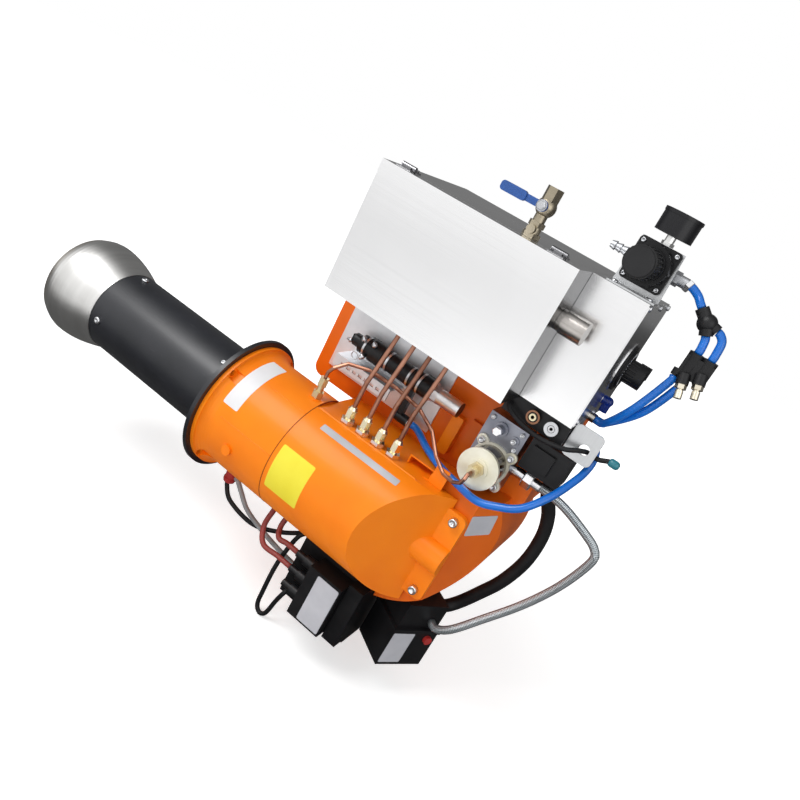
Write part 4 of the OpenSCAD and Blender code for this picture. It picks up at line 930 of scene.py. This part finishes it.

# %% [markdown]
# ## Small fittings
# Nuts, clips, washers and posts are rings and turned pieces. The valve's washer and nut turn with
# its lever. Four posts and one ring of wire stand at the left end of the oil heater, and a low pad
# of the casting lies on the scroll. A dark ring of painted shade marks the seam between duct and
# housing.

# %% Small fittings
heater_y, heater_z = 0.050, 0.156
clip_width, clip_thickness = 0.0028, 0.0009


def hexagon_nut(name, place, axis, across, height, material):
    """A nut: a hexagon across its flats, with both of its edges broken by a small chamfer."""
    r = across / 2
    profile = [(0, 0.9 * r), (0.1 * height, r), (0.9 * height, r), (height, 0.9 * r),
               (height, 0.5 * r)]
    return turned(name, place, axis, profile, material, sides=24, flats=6)


def heater_clip(x, inner):
    """A thin clip round the oil heater's barrel, which lies along X."""
    return ring(f"heater_clip_{round(x * 1000)}", (x, heater_y, heater_z), (1, 0, 0), inner,
                inner + clip_thickness, clip_width, bright_zinc)


hexagon_nut("braid_nut", (0.3755, 0.060, 0.129), (1, 0, 0), 0.0215, 0.0125, chrome)
hexagon_nut("hose_nut", (0.4095, 0.0757, 0.4158), (0.96, -0.02, -0.28), 0.0135, 0.006, chrome)
ring("lever_washer", (0.249, -0.0131, 0.418), front, 0.0036, 0.0062, 0.0012, bright_zinc,
     "lever")
turned("lever_nut", (0.249, -0.0143, 0.418), front, [(0, 0.0046), (0.0032, 0.0046), (0.0040, 0.0038),
       (0.0040, 0.0005)], bright_zinc, "lever", 24, 6)
for x, inner in ((0.112, 0.0131), (0.150, 0.0131), (0.186, 0.0131), (0.203, 0.0141)):
    heater_clip(x, inner)
for x, z in ((0.309, 0.178), (0.351, 0.178), (0.351, 0.1565)):
    screw((x, 0.0403, z), front, 0.0030, bright_zinc, kind="socket", name="block_screw")
screw((0.346, 0.038, 0.166), front, 0.0036, bright_zinc, kind="socket", name="boss_screw")
hexagon_nut("block_plug", (0.325, 0.0243, 0.170), front, 0.010, 0.004, chrome)
ring("hose_collar", (0.2122, 0.054, 0.100), (1, 0, 0), 0.0050, 0.0082, 0.0035, chrome)
posts = {
    (0.094, 0.046, 0.152): (-1, -0.4, 0.1), (0.110, 0.040, 0.163): (0, -0.7, 0.7),
    (0.127, 0.040, 0.164): (0, -0.7, 0.7), (0.119, 0.039, 0.148): (0, -0.9, -0.4),
}
for k, (place, axis) in enumerate(posts.items(), 1):
    turned(f"terminal_post_{k}", place, axis,
           [(0, 0.0024), (0.004, 0.0024), (0.0042, 0.0036), (0.007, 0.0036), (0.0074, 0.0020),
            (0.011, 0.0018), (0.0112, 0.0002)], bright_zinc, sides=20)
wire_circle = [[107 + 5 * math.cos(a), 38 - 1.5 * math.sin(a), 140 + 5 * math.sin(a)]
               for a in np.linspace(0.3, 6.2, 14)]
hose("wire_ring", wire_circle, 0.0013, bright_zinc, sides=10, step=0.001)
stuck_plate("casting_pad", on_flat((0.265, 0.075, 0.116), (1, 0, 0), (0, 0, 1)), 0.016, 0.055,
            orange, corner=0.0035, thick=0.012)
# painted shade: a thin dark ring where the groove between duct and housing is in shadow
ring("seam_shade_ring", (0.1215, 0, 0), (1, 0, 0), 0.0805, 0.0823, 0.0010, seam_shade_enamel, sides=96)
print("fittings made")

# %% [markdown]
# ## Parting lines
# Where the two halves of the mould met, the front duct has a low bead along it. It is a thin tube
# that lies half sunk along the duct, at the angle of the parting plane.

# %% Parting lines
bead_centre_mm = 81.9
for degrees, x0, x1 in ((171, 34, 121), (122, 58, 121)):
    a = math.radians(degrees)
    line = [[x, bead_centre_mm * math.cos(a), bead_centre_mm * math.sin(a)]
            for x in np.linspace(x0, x1, 4)]
    hose(f"parting_line_{degrees}", line, 0.0013, orange, sides=10, step=0.004)
print("parting lines made")

# %% [markdown]
# ## Floor and light
# The photograph has a plain white ground, and its steel reflects a bright side in front and a dim
# one above and behind. A pale floor lies just under the lowest point. It glows to the camera, the
# more the farther it lies from the burner, which keeps it white and the shadow near the burner
# soft. To mirrors it is grey, and it glows only in front: 0.17 near by, 0.40 more far out.

# %% Floor
low = min(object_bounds()[0][2], cad_box[0][2])
floor_mesh = bpy.data.meshes.new("floor")
reach = 6.0
floor_mesh.from_pydata([(-reach, -reach, low), (reach, -reach, low), (reach, reach, low),
                        (-reach, reach, low)], [], [(0, 1, 2, 3)])
floor = in_scene("floor", floor_mesh)
floor_finish = Finish("floor_finish")
camera_ray = floor_finish.node("ShaderNodeLightPath", {}, {}, "Is Camera Ray")
mirror_ray = floor_finish.node("ShaderNodeLightPath", {}, {}, "Is Glossy Ray")
in_front = floor_finish.axis(1).ramp(-0.35, -0.75)
to_right = floor_finish.axis(0).ramp(-0.9, 0.0)
distance = (floor_finish.axis(0) ** 2.0 + floor_finish.axis(1) ** 2.0) ** 0.5
grey = 0.82 - mirror_ray * (0.70 - in_front * (0.44 + 0.12 * to_right))
far_out = floor_finish.axis(1).ramp(-0.9, -2.4)
mirrored_glow = mirror_ray * in_front * (0.17 + 0.08 * to_right + 0.40 * far_out)
glow = camera_ray * (0.50 + 0.45 * distance.ramp(0.55, 1.5)) + mirrored_glow
floor_finish.paint(floor_finish.blend((0, 0, 0), (1, 1, 1), grey), 0.9, shine=0.0)
floor_finish.put(floor_finish.shader.inputs["Emission Color"],
                 floor_finish.blend((0, 0, 0), (1, 1, 1), glow))
floor_finish.shader.inputs["Emission Strength"].default_value = 1.0
floor_mesh.materials.append(floor_finish.material)
print("floor at", round(low, 4))

# %% [markdown]
# The world's strength is 1 to the camera and 0.31 as plain light. To a mirror it is 1.11 in front
# and falls to 0.17 behind, so that steel which faces away looks dark.

# %% World
class Sky(Finish):
    """The world's own nodes, written with the same sums."""

    def __init__(self, world):
        """Keeps only the node tree, since a world has no surface shader."""
        world.use_nodes = True
        self.tree = world.node_tree


world = bpy.data.worlds.new("studio")
bpy.context.scene.world = world
sky = Sky(world)
camera_ray = sky.node("ShaderNodeLightPath", {}, {}, "Is Camera Ray")
mirror_ray = sky.node("ShaderNodeLightPath", {}, {}, "Is Glossy Ray")
way = sky.node("ShaderNodeTexCoord", {}, {}, "Generated")
behind = sky.node("ShaderNodeSeparateXYZ", {}, {0: way}, 1).ramp(-0.3, 0.25)
background = sky.tree.nodes["Background"]
sky.put(background.inputs[1], 0.31 + 0.69 * camera_ray + mirror_ray * (0.80 - 0.94 * behind))
background.inputs[0].default_value = (1, 1, 1, 1)
print("world made")


# %% [markdown]
# A strong key stands up on the left, a weak fill on the right, a rim lamp behind and a low lamp in
# front that lifts the dark boxes below. Steel doesn't mirror the last two.

# %% Lamps
def lamp(name, place, target, size, power, mirrored=True):
    """A square area lamp at place that looks at target; steel mirrors it only if told to."""
    data = bpy.data.lights.new(name, "AREA")
    data.size = size
    data.energy = power
    made = in_scene(name, data)
    made.location = place
    aim = Vector(target) - Vector(place)
    made.rotation_euler = aim.to_track_quat("-Z", "Y").to_euler()
    made.visible_glossy = mirrored
    return made


lamp("key", (-0.9, -1.2, 1.9), (0.1, 0, 0.1), 1.2, 36)
lamp("fill", (1.7, -1.0, 0.9), (0.2, 0, 0.1), 1.4, 7)
lamp("rim", (0.2, 1.7, 1.5), (0.1, 0, 0.1), 1.4, 12, mirrored=False)
lamp("low_front", (0.25, -1.6, 0.25), (0.15, 0, -0.05), 1.0, 6, mirrored=False)
print("lamps set")

# %% [markdown]
# ## Close
# The scene is updated once more, so that every piece stands in its place.

# %% Close
bpy.context.view_layer.update()
